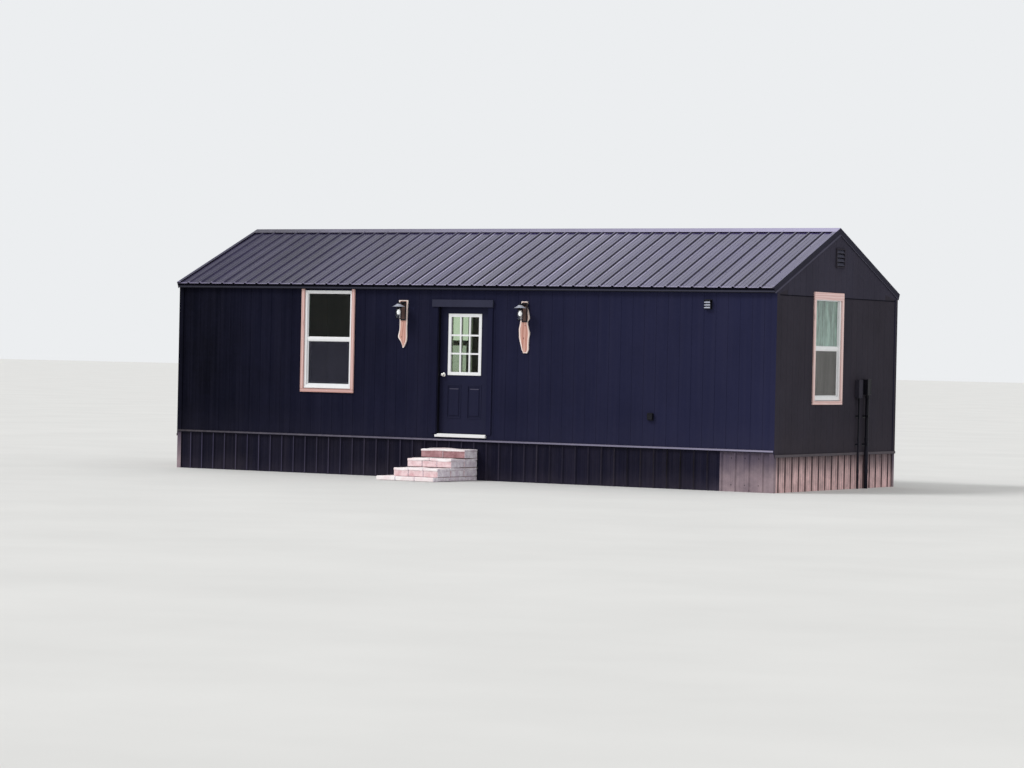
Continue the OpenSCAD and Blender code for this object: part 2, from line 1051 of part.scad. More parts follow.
module door_slab() {
    color([0.12, 0.12, 0.17])
        translate([door_x, 0, 0])
            difference() {
                box([-door_w / 2, door_out_y, slab_z], [door_w / 2, door_in_y, slab_z + door_h]);
                box([-hole_w / 2, door_out_y - cut, lite_z + lite_lap],
                    [hole_w / 2, door_in_y + cut, lite_z + lite_lap + hole_h]);
                for (side = [-1, 1])
                    for (face = [door_out_y - cut, door_in_y - groove_d])
                        translate([side * panel_out - panel_w / 2, face + groove_d + cut, slab_z + panel_up])
                            rotate([90, 0, 0])
                                linear_extrude(groove_d + cut)
                                    panel_groove();
            }
}

// Glazing frame with three by three panes, on both faces of the glass
module lite_ring(y0, y1, width, height) {
    z = lite_z + lite_h / 2;
    difference() {
        box([-width / 2, y0, z - height / 2], [width / 2, y1, z + height / 2]);
        box([-clear_lw / 2, y0 - cut, z - clear_lh / 2], [clear_lw / 2, y1 + cut, z + clear_lh / 2]);
    }
}

module lite_bars(y0, y1) {
    for (i = [-1, 1]) {
        x = i * clear_lw / 6;
        z = lite_z + lite_h / 2 + i * clear_lh / 6;
        box([x - bar_w / 2, y0, lite_z + lite_face], [x + bar_w / 2, y1, lite_z + lite_face + clear_lh]);
        box([-clear_lw / 2, y0, z - bar_w / 2], [clear_lw / 2, y1, z + bar_w / 2]);
    }
}

module door_lite_frame() {
    color("white")
        translate([door_x, 0, 0]) {
            lite_ring(door_out_y - lite_proud, door_out_y, lite_w, lite_h);
            lite_ring(door_out_y, door_in_y, hole_w, hole_h);
            lite_ring(door_in_y, door_in_y + lite_proud, lite_w, lite_h);
            lite_bars(door_out_y - lite_proud / 2, slab_mid_y - glass_t / 2);
            lite_bars(slab_mid_y + glass_t / 2, door_in_y + lite_proud / 2);
        }
}

module door_glass() {
    color([0.6, 0.75, 0.65, 0.5])
        translate([door_x, 0, 0])
            box([-clear_lw / 2, slab_mid_y - glass_t / 2, lite_z + lite_face],
                [clear_lw / 2, slab_mid_y + glass_t / 2, lite_z + lite_face + clear_lh]);
}

// Round knob on a rose
neck_r = 11;
rose_t = 8;
rose_edge = 4;
knob_flat = 0.75;

module knob() {
    rotate_extrude($fn = curve_fn) {
        polygon([
            [0, 0],
            [rose_r, 0],
            [rose_r, rose_edge],
            [rose_r - rose_edge, rose_t],
            [neck_r, rose_t],
            [neck_r, knob_out - knob_r],
            [0, knob_out - knob_r]
        ]);
        translate([0, knob_out - knob_r * knob_flat])
            intersection() {
                scale([1, knob_flat])
                    circle(r = knob_r, $fn = curve_fn);
                translate([0, -knob_r])
                    square([knob_r, 2 * knob_r]);
            }
    }
}

module door_knobs() {
    x = door_x - door_w / 2 + knob_backset;
    color("silver") {
        translate([x, door_out_y, slab_z + knob_up])
            rotate([90, 0, 0])
                knob();
        translate([x, door_in_y, slab_z + knob_up])
            rotate([-90, 0, 0])
                knob();
    }
}

// Hinges at the right edge of the door, with the pin just inside the room
pin_x = door_x + door_w / 2 + door_gap / 2;
pin_y = door_in_y + barrel_r + barrel_gap;
hinge_zs = [slab_z + hinge_end, slab_z + door_h / 2, slab_z + door_h - hinge_end];
barrel_part = 0.34;

module door_hinges() {
    part_h = hinge_h * (1 - 2 * barrel_part) - 2 * barrel_gap;
    color("silver")
        for (z = hinge_zs)
            difference() {
                union() {
                    box([door_x + door_w / 2, door_in_y - leaf_w, z - hinge_h / 2],
                        [door_x + door_w / 2 + leaf_t, door_in_y - barrel_gap, z + hinge_h / 2]);
                    box([door_x + door_w / 2, door_in_y - leaf_w, z - part_h / 2],
                        [door_x + door_w / 2 + leaf_t, pin_y, z + part_h / 2]);
                    translate([pin_x, pin_y, z - part_h / 2])
                        cylinder(r = barrel_r, h = part_h, $fn = curve_fn);
                }
                translate([pin_x, pin_y, z - hinge_h])
                    cylinder(r = pin_r + bore_gap, h = 2 * hinge_h, $fn = curve_fn);
            }
}

module jamb_hinges() {
    part_h = hinge_h * barrel_part;
    jamb_x = door_x + door_half;
    color("silver")
        for (z = hinge_zs) {
            box([jamb_x - leaf_t, door_in_y - leaf_w, z - hinge_h / 2],
                [jamb_x, door_in_y - barrel_gap, z + hinge_h / 2]);
            for (low = [z - hinge_h / 2, z + hinge_h / 2 - part_h]) {
                box([jamb_x - leaf_t, door_in_y - leaf_w, low], [jamb_x, pin_y, low + part_h]);
                translate([pin_x, pin_y, low])
                    cylinder(r = barrel_r, h = part_h, $fn = curve_fn);
            }
            translate([pin_x, pin_y, z - hinge_h / 2])
                cylinder(r = pin_r, h = hinge_h, $fn = curve_fn);
        }
}

left_light_x = door_x - left_light_out;
right_light_x = door_x + right_light_out;
light_top_z = soffit_z - light_drop;

// Live-edge boards behind the lanterns: stations of [height, left half width, right half width]
left_board = [
    [0, 3, 4], [13, 9, 16], [60, 23, 39], [108, 48, 62], [147, 81, 66], [179, 95, 67],
    [235, 85, 66], [282, 72, 64], [441, 70, 66], [600, 77, 67], [756, 92, 78]
];
right_board = [
    [0, 20, 48], [53, 47, 72], [142, 72, 71], [232, 96, 77], [305, 101, 88], [376, 103, 70],
    [475, 83, 48], [539, 78, 79], [647, 80, 58], [723, 82, 36], [801, 64, 42]
];
board_steps = 4;

// Smooth value between stations b and c, with their neighbours a and d
function smooth(a, b, c, d, t) =
    0.5 * (2 * b + (c - a) * t + (2 * a - 5 * b + 4 * c - d) * t * t + (3 * b - a - 3 * c + d) * t * t * t);

function edge_points(board, column, sign) = [
    for (i = [0:len(board) - 2])
        for (s = [0:board_steps - 1])
            let (
                a = board[max(i - 1, 0)],
                b = board[i],
                c = board[i + 1],
                d = board[min(i + 2, len(board) - 1)],
                t = s / board_steps
            )
            [sign * smooth(a[column], b[column], c[column], d[column], t), b[0] + (c[0] - b[0]) * t],
    [sign * board[len(board) - 1][column], board[len(board) - 1][0]]
];

module light_board(board) {
    height = board[len(board) - 1][0];
    translate([0, -half_w, light_top_z - height])
        rotate([90, 0, 0])
            linear_extrude(slab_t)
                polygon(concat(edge_points(board, 1, -1), reversed(edge_points(board, 2, 1))));
}

module light_boards() {
    color([0.85, 0.62, 0.52]) {
        translate([left_light_x, 0, 0])
            light_board(left_board);
        translate([right_light_x, 0, 0])
            light_board(right_board);
    }
}

// Lantern with a flared hood on a short arm; its middle is in front of the board
arm_r = 9;
arm_z = light_top_z - 46;
plate_drop = 19;
collar_r = 36;
collar_h = 62;
rim_t = 4;
cap_t = 6;
hood_top_r = 24;
jar_gap = 3;
rim_z = arm_z - hood_h;
jar_z = rim_z - collar_h + hood_h / 2 - jar_h;

module lantern() {
    translate([-plate_w / 2, -half_w - slab_t - plate_t, light_top_z - plate_drop - plate_h])
        cube([plate_w, plate_t, plate_h]);
    translate([0, -half_w - slab_t - lantern_out, 0]) {
        translate([0, 0, rim_z])
            rotate_extrude($fn = curve_fn)
                polygon([
                    [0, hood_h],
                    [hood_top_r, hood_h],
                    [hood_top_r + rim_t, hood_h * 0.65],
                    [hood_r, rim_t],
                    [hood_r, 0],
                    [hood_r - rim_t, 0],
                    [collar_r, hood_h * 0.45],
                    [collar_r, hood_h / 2 - collar_h],
                    [0, hood_h / 2 - collar_h]
                ]);
        translate([0, 0, arm_z])
            rotate([-90, 0, 0])
                cylinder(r = arm_r, h = lantern_out - plate_t, $fn = curve_fn);
        translate([0, 0, jar_z - cap_t])
            cylinder(r = jar_r + jar_gap, h = cap_t, $fn = curve_fn);
    }
}

module lanterns() {
    color([0.08, 0.08, 0.09]) {
        translate([left_light_x, 0, 0])
            lantern();
        translate([right_light_x, 0, 0])
            lantern();
    }
}

// Glass of a lantern, closed at the foot and open under the collar
module jar() {
    translate([0, -half_w - slab_t - lantern_out, jar_z])
        difference() {
            cylinder(r = jar_r, h = jar_h, $fn = curve_fn);
            translate([0, 0, jar_gap])
                cylinder(r = jar_r - 2 * jar_gap, h = jar_h, $fn = curve_fn);
        }
}

module lantern_glass() {
    color([0.85, 0.88, 0.9, 0.5]) {
        translate([left_light_x, 0, 0])
            jar();
        translate([right_light_x, 0, 0])
            jar();
    }
}

// Extractor hood and outdoor socket on the front wall, and service boxes on the right end wall
module extractor_hood() {
    top = hood_box_h / 2;
    along_x(-hood_box_w / 2, hood_box_w / 2,
        [[0, -top], [-hood_box_d, -top], [-hood_box_d, -top / 2], [-hood_box_d / 3, top], [0, top]]);
}

module socket_cover() {
    high = socket_h / 2;
    along_x(-socket_w / 2, socket_w / 2, [
        [0, -high],
        [-socket_d * 0.85, -high],
        [-socket_d, -high / 2],
        [-socket_d, high * 0.8],
        [-socket_d * 0.75, high],
        [0, high]
    ]);
}

module wall_fittings() {
    color([0.1, 0.1, 0.12]) {
        translate([half_l - hood_in, -half_w, soffit_z - hood_drop])
            extractor_hood();
        translate([half_l - socket_in, -half_w, skirt_h + socket_up])
            socket_cover();
        translate([half_l, pale_box_y, skirt_h + pale_box_up])
            cube([pale_box_d, pale_box_w, pale_box_h]);
        translate([half_l, black_box_y, skirt_h + black_box_up])
            cube([black_box_d, black_box_w, black_box_h]);
    }
}

// Conduits from the service boxes down to the ground
pipe_gap = 4;

module conduits() {
    face = half_l + drip_out + pipe_gap;
    color([0.07, 0.07, 0.08]) {
        translate([face + thin_pipe_r, pale_box_y + pale_box_w / 2, 0])
            cylinder(r = thin_pipe_r, h = skirt_h + pale_box_up, $fn = curve_fn);
        translate([face + thick_pipe_r, black_box_y + black_box_w / 2, 0])
            cylinder(r = thick_pipe_r, h = skirt_h + black_box_up, $fn = curve_fn);
    }
}

// Steps of pavers on a ground slab
step_base_h = 68;
step_x = door_x + step_shift;
step_back = skin_w + crest_h;

module tread(level, count) {
    low = step_base_h + level * step_rise;
    box([step_x - step_w / 2, -step_back - count * step_tread, low],
        [step_x + step_w / 2, -step_back, low + step_rise]);
}

module step_base() {
    color([0.8, 0.74, 0.72])
        box([step_x - step_w / 2 - slab_past, -step_back - 3 * step_tread - slab_past / 2, 0],
            [step_x + step_w / 2, -step_back, step_base_h]);
}

module lower_step() {
    color([0.85, 0.68, 0.67])
        tread(0, 3);
}

module middle_step() {
    color([0.88, 0.72, 0.7])
        tread(1, 2);
}

module top_step() {
    color([0.8, 0.62, 0.6])
        tread(2, 1);
}

piers();
floor();
front_wall_left();
front_wall_right();
front_wall_over_door();
back_wall();
end_walls();
front_siding();
back_siding();
end_siding();
wall_flashings();
corner_trims();
front_roof_deck();
back_roof_deck();
roof_sheets();
ridge_cap();
roof_edge_boards();
rake_trims();
front_skirt();
back_skirt();
end_skirts();
window_frames();
lower_sashes();
window_glass();
window_screens();
window_boards();
gable_louvres();
door_frame();
door_sill();
door_casing();
door_slab();
door_lite_frame();
door_glass();
door_knobs();
door_hinges();
jamb_hinges();
light_boards();
lanterns();
lantern_glass();
wall_fittings();
conduits();
step_base();
lower_step();
middle_step();
top_step();
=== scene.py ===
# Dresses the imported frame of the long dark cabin: finishes, small fittings, pavers, lights and camera
import json
import math
import bpy
import bmesh
from mathutils import Matrix, Vector

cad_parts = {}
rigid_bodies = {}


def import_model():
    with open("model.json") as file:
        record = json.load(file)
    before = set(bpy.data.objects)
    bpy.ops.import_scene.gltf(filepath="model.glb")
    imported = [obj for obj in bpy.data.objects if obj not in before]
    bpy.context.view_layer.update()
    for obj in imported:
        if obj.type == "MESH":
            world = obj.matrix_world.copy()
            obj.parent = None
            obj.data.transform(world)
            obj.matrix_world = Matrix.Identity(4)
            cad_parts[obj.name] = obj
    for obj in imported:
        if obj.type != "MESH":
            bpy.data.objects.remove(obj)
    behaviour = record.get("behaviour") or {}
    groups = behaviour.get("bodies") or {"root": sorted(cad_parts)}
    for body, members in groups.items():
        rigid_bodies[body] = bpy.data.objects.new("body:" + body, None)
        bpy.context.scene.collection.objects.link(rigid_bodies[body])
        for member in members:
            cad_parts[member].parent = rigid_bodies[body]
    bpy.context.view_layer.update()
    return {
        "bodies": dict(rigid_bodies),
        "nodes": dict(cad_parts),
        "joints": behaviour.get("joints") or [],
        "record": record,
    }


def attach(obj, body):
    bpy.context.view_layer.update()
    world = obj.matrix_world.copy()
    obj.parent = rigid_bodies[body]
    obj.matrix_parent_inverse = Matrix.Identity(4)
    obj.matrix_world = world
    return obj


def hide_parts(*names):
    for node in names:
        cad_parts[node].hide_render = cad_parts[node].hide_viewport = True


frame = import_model()
nodes = frame["nodes"]
print("frame loaded:", len(nodes), "nodes")
quarter = math.pi / 2


# Colours are written as a screen shows them, 0-255, and turned to Blender's linear values
def tone(r, g, b):
    def linear(v):
        v = v / 255
        return v / 12.92 if v <= 0.04045 else ((v + 0.055) / 1.055) ** 2.4
    return (linear(r), linear(g), linear(b), 1.0)


# One shader node; a link or a plain value for each named socket
def put(tree, kind, sockets=None, **settings):
    node = tree.nodes.new("ShaderNode" + kind)
    for key, value in settings.items():
        setattr(node, key, value)
    for key, value in (sockets or {}).items():
        if isinstance(value, bpy.types.NodeSocket):
            tree.links.new(value, node.inputs[key])
        else:
            node.inputs[key].default_value = value
    return node


def maths(tree, operation, a, b=0.0, clamp=False):
    return put(tree, "Math", {0: a, 1: b}, operation=operation, use_clamp=clamp).outputs[0]


def times(tree, a, b, clamp=False):
    return maths(tree, "MULTIPLY", a, b, clamp)


def plus(tree, a, b, clamp=False):
    return maths(tree, "ADD", a, b, clamp)


def remap(tree, value, low, high, toLow=0.0, toHigh=1.0, kind="LINEAR"):
    given = {"Value": value, "From Min": low, "From Max": high, "To Min": toLow, "To Max": toHigh}
    return put(tree, "MapRange", given, interpolation_type=kind).outputs[0]


def scaled(tree, colour, amount):
    start = colour if isinstance(colour, bpy.types.NodeSocket) else colour[:3]
    return put(tree, "VectorMath", {0: start, "Scale": amount}, operation="SCALE").outputs[0]


def blendColours(tree, factor, a, b, mode="MIX"):
    return put(tree, "Mix", {0: factor, 6: a, 7: b}, data_type="RGBA", blend_type=mode).outputs[2]


def stretched(tree, place, scale, turn=(0, 0, 0)):
    return put(tree, "Mapping", {"Vector": place, "Scale": scale, "Rotation": turn}).outputs[0]


def cloud(tree, place, scale, detail=3.0, rough=0.55):
    return put(tree, "TexNoise", {"Vector": place, "Scale": scale, "Detail": detail, "Roughness": rough}).outputs[0]


def streaky(tree, place, scale, detail=3.0, rough=0.55):
    return cloud(tree, stretched(tree, place, scale), 1.0, detail, rough)


def splitPlace(tree, place):
    return put(tree, "SeparateXYZ", {0: place}).outputs


# Effects shared by several finishes
def newEffect(name, inputs, outputs):
    tree = bpy.data.node_groups.new(name, "ShaderNodeTree")
    kinds = {"colour": "NodeSocketColor", "value": "NodeSocketFloat", "vector": "NodeSocketVector"}
    for socketName, kind, start in inputs:
        socket = tree.interface.new_socket(name=socketName, in_out="INPUT", socket_type=kinds[kind])
        if start is not None:
            socket.default_value = start
    for socketName, kind in outputs:
        tree.interface.new_socket(name=socketName, in_out="OUTPUT", socket_type=kinds[kind])
    given = tree.nodes.new("NodeGroupInput").outputs
    result = tree.nodes.new("NodeGroupOutput").inputs
    return tree, given, result


# Painted surface outdoors: cloudy tone, rain streaks down it, dust thrown up from the ground, and painted shade that
# darkens it towards the left end
def makeWeathering():
    tree, given, result = newEffect("Weathering", [
        ("Place", "vector", None), ("Paint", "colour", (0.02, 0.02, 0.04, 1)), ("Dust", "colour", (0.3, 0.24, 0.2, 1)),
        ("Mottle", "value", 0.15), ("Streaks", "value", 0.2), ("Fade", "value", 0.0), ("Dust Full", "value", 0.0),
        ("Dust End", "value", 0.5), ("Dust Amount", "value", 0.3), ("End Dust", "value", 0.0),
        ("Ragged", "value", 0.10)],
        [("Colour", "colour"), ("Roughness", "value"), ("Dust Mask", "value")])
    place = given["Place"]
    broad = remap(tree, cloud(tree, place, 1.1, 5), 0.3, 0.7, -1, 1)
    fine = remap(tree, cloud(tree, place, 14, 4), 0.3, 0.7, -1, 1)
    streak = remap(tree, streaky(tree, place, (11, 11, 0.28), 5, 0.7), 0.42, 0.72)
    mottle = times(tree, plus(tree, broad, times(tree, fine, 0.35)), given["Mottle"])
    x, _, z = splitPlace(tree, place)
    sunned = times(tree, remap(tree, x, -5.5, 5.5, -1, 1), given["Fade"])  # painted shade: darker towards the left end, paler towards the right
    lifted = scaled(tree, given["Paint"], plus(tree, plus(tree, 1.0, sunned), mottle))
    streaked = blendColours(tree, times(tree, streak, given["Streaks"]), lifted, given["Dust"])
    ragged = plus(tree, z, times(tree, broad, given["Ragged"]))
    low = remap(tree, ragged, given["Dust Full"], given["Dust End"], 1.0, 0.0, "SMOOTHSTEP")
    patchy = remap(tree, cloud(tree, place, 5.5, 6, 0.65), 0.3, 0.65, 0.55, 1.15)
    atEnd = remap(tree, x, 3.9, 5.1, kind="SMOOTHSTEP")
    amount = plus(tree, given["Dust Amount"], times(tree, atEnd, given["End Dust"]))
    mask = times(tree, times(tree, low, patchy), amount, clamp=True)
    join = tree.links.new
    join(blendColours(tree, mask, streaked, given["Dust"]), result["Colour"])
    join(plus(tree, times(tree, mask, 0.35), times(tree, streak, 0.08)), result["Roughness"])
    join(mask, result["Dust Mask"])
    return tree


# Wood whose grain runs along Z of the given place: growth bands, fibres and a few knots
def makeWoodGrain():
    tree, given, result = newEffect("Wood grain", [
        ("Place", "vector", None), ("Early", "colour", (0.6, 0.4, 0.3, 1)), ("Late", "colour", (0.4, 0.2, 0.12, 1)),
        ("Band Size", "value", 28.0), ("Wander", "value", 0.6), ("Knots", "value", 0.0)],
        [("Colour", "colour"), ("Height", "value"), ("Knot Mask", "value")])
    place = given["Place"]
    cells = {"Vector": stretched(tree, place, (5.0, 5.0, 1.9)), "Scale": 1.0, "Randomness": 1.0}
    knots = put(tree, "TexVoronoi", cells).outputs[0]
    nearKnot = remap(tree, knots, 0.0, 0.34, 1, 0)
    swirl = times(tree, times(tree, nearKnot, nearKnot), given["Knots"])
    wander = times(tree, streaky(tree, place, (3.2, 3.2, 0.7)), given["Wander"])
    x, y, _ = splitPlace(tree, place)
    line = plus(tree, plus(tree, x, y), times(tree, wander, 0.16))
    bent = plus(tree, line, times(tree, swirl, 0.05))
    bands = maths(tree, "SINE", times(tree, bent, times(tree, given["Band Size"], 6.283)))
    soft = remap(tree, bands, -0.6, 1.0)
    fibre = streaky(tree, place, (260, 260, 5), 3, 0.6)
    mixed = plus(tree, times(tree, soft, 0.62), times(tree, remap(tree, fibre, 0.3, 0.7), 0.38))
    base = blendColours(tree, mixed, given["Early"], given["Late"])
    knotMask = times(tree, remap(tree, knots, 0.05, 0.13, 1, 0), given["Knots"], clamp=True)
    join = tree.links.new
    join(blendColours(tree, knotMask, base, scaled(tree, given["Late"], 0.32)), result["Colour"])
    join(plus(tree, times(tree, soft, 0.4), fibre), result["Height"])
    join(knotMask, result["Knot Mask"])
    return tree


# Cast concrete: cloudy patches, aggregate specks and pits
def makeCastStone():
    tree, given, result = newEffect("Cast stone", [
        ("Place", "vector", None), ("Light", "colour", (0.7, 0.6, 0.58, 1)), ("Dark", "colour", (0.4, 0.3, 0.3, 1)),
        ("Speck", "colour", (0.12, 0.11, 0.12, 1)), ("Patch Scale", "value", 4.0), ("Speck Amount", "value", 0.4)],
        [("Colour", "colour"), ("Height", "value")])
    place = given["Place"]
    patch = remap(tree, cloud(tree, place, given["Patch Scale"], 6.0, 0.62), 0.36, 0.64)
    grit = put(tree, "TexVoronoi", {"Vector": place, "Scale": 160.0, "Randomness": 1.0}).outputs[0]
    sparse = remap(tree, cloud(tree, place, 26, 3), 0.5, 0.62)
    speck = times(tree, times(tree, remap(tree, grit, 0.16, 0.32, 1, 0), sparse), given["Speck Amount"], clamp=True)
    base = blendColours(tree, patch, given["Light"], given["Dark"])
    join = tree.links.new
    join(blendColours(tree, speck, base, given["Speck"]), result["Colour"])
    rough = plus(tree, cloud(tree, place, 60, 8, 0.7), times(tree, patch, 0.4))
    join(maths(tree, "SUBTRACT", rough, times(tree, speck, 0.5)), result["Height"])
    return tree


weathering = makeWeathering()
woodGrain = makeWoodGrain()
castStone = makeCastStone()


def startFinish(name, roughness, specular=0.5, metallic=0.0, **plain):
    material = bpy.data.materials.new(name)
    material.use_nodes = True
    tree = material.node_tree
    shader = tree.nodes["Principled BSDF"]
    shader.inputs["Roughness"].default_value = roughness
    shader.inputs["Specular IOR Level"].default_value = specular
    shader.inputs["Metallic"].default_value = metallic
    for key, value in plain.items():
        shader.inputs[key.replace("_", " ")].default_value = value
    place = put(tree, "TexCoord").outputs["Object"]
    return material, tree, shader, place


def addBump(tree, shader, height, strength, distance):
    bump = put(tree, "Bump", {"Height": height, "Strength": strength, "Distance": distance})
    tree.links.new(bump.outputs[0], shader.inputs["Normal"])


def useEffect(tree, effect, values):
    node = tree.nodes.new("ShaderNodeGroup")
    node.node_tree = effect
    for key, value in values.items():
        if isinstance(value, bpy.types.NodeSocket):
            tree.links.new(value, node.inputs[key])
        else:
            node.inputs[key].default_value = value
    return node.outputs


# Painted finishes; each changes what it needs of the wall's own paint
# fade sets how much painted shade changes the tone along the length, from the left end to the right
wallPaint = dict(dust=(70, 68, 88), mottle=0.12, streaks=0.10, fade=0.75, dustFull=0.45, dustEnd=1.15, dustAmount=0.10,
                 endDust=0.1, roughness=0.7, specular=0.03, grainScale=(90, 90, 2.2), grainStrength=0.35)
paintSockets = {"Mottle": "mottle", "Streaks": "streaks", "Fade": "fade", "Dust Full": "dustFull",
                "Dust End": "dustEnd", "Dust Amount": "dustAmount", "End Dust": "endDust"}


def paintFinish(name, colour, **changes):
    values = dict(wallPaint, **changes)
    material, tree, shader, place = startFinish(name, values["roughness"], values["specular"])
    given = {"Place": place, "Paint": tone(*colour), "Dust": tone(*values["dust"])}
    for socketName, key in paintSockets.items():
        given[socketName] = values[key]
    weathered = useEffect(tree, weathering, given)
    tree.links.new(weathered["Colour"], shader.inputs["Base Color"])
    tree.links.new(plus(tree, weathered["Roughness"], values["roughness"], clamp=True), shader.inputs["Roughness"])
    addBump(tree, shader, streaky(tree, place, values["grainScale"], 4, 0.6), values["grainStrength"], 0.002)
    return material


frontPaint = paintFinish("frontPaint", (28, 29, 50))
# End walls and gable: paler than the front's paint, partly dust tone and partly painted light
endPaint = paintFinish("endPaint", (53, 50, 59), dust=(86, 78, 82), fade=0.0)
gablePaint = paintFinish("gablePaint", (57, 55, 68), dust=(86, 78, 82), fade=0.0)
trimPaint = paintFinish("trimPaint", (46, 47, 66), mottle=0.1, specular=0.15, fade=0.3)
# Eave strip and louvre slats: painted highlight, lighter than the dark trim round them
stripPaint = paintFinish("stripPaint", (48, 48, 62), mottle=0.1, specular=0.2, fade=0.2)
# Pale rim: painted highlight on the rake trims' turned-out foot and the door panels' upward bevels
hemPaint = paintFinish("hemPaint", (76, 74, 90), mottle=0.1, specular=0.1, fade=0.0)
# Rake trims' face: painted shade, darker than the roof's metal
rakePaint = paintFinish("rakePaint", (37, 36, 50), mottle=0.1, specular=0.1, fade=0.0)
endTrim = paintFinish("endTrim", (74, 70, 78), dust=(128, 116, 118), mottle=0.15, streaks=0.2, specular=0.2, fade=0.0)
# Flashing: painted highlight on the drip lip's lit band
flashingPaint = paintFinish("flashingPaint", (106, 103, 124), dust=(176, 166, 172), specular=0.1, fade=0.9)
# Fascia and shaded trim faces: painted shade, near black
edgePaint = paintFinish("edgePaint", (14, 14, 24), mottle=0.15, streaks=0.05, fade=0.2)
doorPaint = paintFinish("doorPaint", (31, 32, 54), mottle=0.08, streaks=0.05, roughness=0.5, specular=0.06,
                        grainScale=(160, 160, 3.0), grainStrength=0.12)
boxGrey = paintFinish("boxGrey", (53, 51, 61), mottle=0.08, fade=0, roughness=0.5)

# Sheet metal, with the dust that the ground throws up on the skirts; the ridge cap and the front skirt's rib crests
# carry painted highlight
smoothSheet = dict(grainScale=(3, 3, 3), grainStrength=0.05)
# Ridge cap: painted highlight, much paler than the roof sheets of the same metal
capPaint = paintFinish("capPaint", (134, 129, 154), dust=(190, 184, 200), streaks=0.12, endDust=0, roughness=0.4,
                       specular=0.15, **smoothSheet)
skirtPaint = paintFinish("skirtPaint", (21, 20, 37), dust=(120, 110, 124), mottle=0.25, streaks=0.06, fade=0.15,
                         dustFull=-0.10, dustEnd=0.30, endDust=0.4, roughness=0.5, specular=0.06, **smoothSheet)
# Front skirt's rib crests: painted highlight, lighter than the pans, more so towards the left end
crestPaint = paintFinish("crestPaint", (40, 38, 54), dust=(120, 110, 124), mottle=0.4, streaks=0.15, fade=-1.2,
                         dustFull=-0.10, dustEnd=0.30, roughness=0.5, specular=0.06)
# End skirts: dust, and partly painted light
endSkirtPaint = paintFinish("endSkirtPaint", (104, 92, 96), dust=(250, 212, 212), mottle=0.3, streaks=0.2, fade=0.0,
                            dustFull=0.12, dustEnd=0.56, dustAmount=0.85, endDust=0, roughness=0.6, specular=0.1,
                            **smoothSheet)
dustySkirt = paintFinish("dustySkirt", (74, 66, 82), dust=(160, 142, 148), mottle=0.25, streaks=0.2, fade=0.0,
                         dustFull=0.10, dustEnd=0.60, dustAmount=0.8, roughness=0.6, specular=0.1, **smoothSheet)
ribShade = paintFinish("ribShade", (84, 72, 76), dust=(160, 134, 132), mottle=0.2, fade=0.0, dustFull=0.02,
                       dustEnd=0.30, dustAmount=0.4, roughness=0.6, specular=0.05)

# Linings, vinyl and the small metal parts
liningPaint = paintFinish("liningPaint", (178, 176, 170), dust=(150, 146, 140), mottle=0.03, streaks=0.0, fade=0,
                          dustAmount=0.0, roughness=0.8, grainScale=(60, 60, 60), grainStrength=0.1)
vinylFinish = paintFinish("vinylFinish", (242, 243, 245), dust=(190, 184, 176), mottle=0.02, fade=0, endDust=0,
                          dustFull=1.3, dustEnd=1.5, dustAmount=0.12, roughness=0.35, specular=0.5,
                          grainScale=(30, 30, 30), grainStrength=0.03)
# Lantern hood brim and extractor blades: painted highlight, pale against the black metal
hoodMetal = paintFinish("hoodMetal", (176, 180, 196), dust=(190, 188, 192), mottle=0.15, fade=0, roughness=0.32,
                        specular=0.8, grainScale=(80, 80, 80), grainStrength=0.06)
bronzePlate = paintFinish("bronzePlate", (84, 64, 60), dust=(136, 108, 98), mottle=0.2, streaks=0.2, fade=0,
                          roughness=0.4, specular=0.15, grainScale=(80, 80, 80), grainStrength=0.1)
blackPaint = paintFinish("blackPaint", (13, 13, 22), mottle=0.1, streaks=0.04, fade=0, roughness=0.5, specular=0.2,
                         grainScale=(400, 400, 400), grainStrength=0.1)


# Painted roof sheet: streaks run down the slope, each sheet has its own tone, the left end is darker with painted
# shade, and the pale line beside each rib and the pale band at the eave are dust and painted highlight
sheetMetal = dict(paint=(58, 50, 93), leftPaint=(46, 42, 69), dust=(196, 188, 222), mottle=0.2, streaks=0.10, fade=0.15,
                  roughness=0.28, specular=0.05, slope=math.radians(23.27), run=0.845, edge=0.05, edgeDust=0.4,
                  sheetWide=0.9144, sheetTone=0.06, pitch=0.2286, shift=-0.004, ribDust=0.85,
                  coatLeft=0.03, coatRight=0.95)


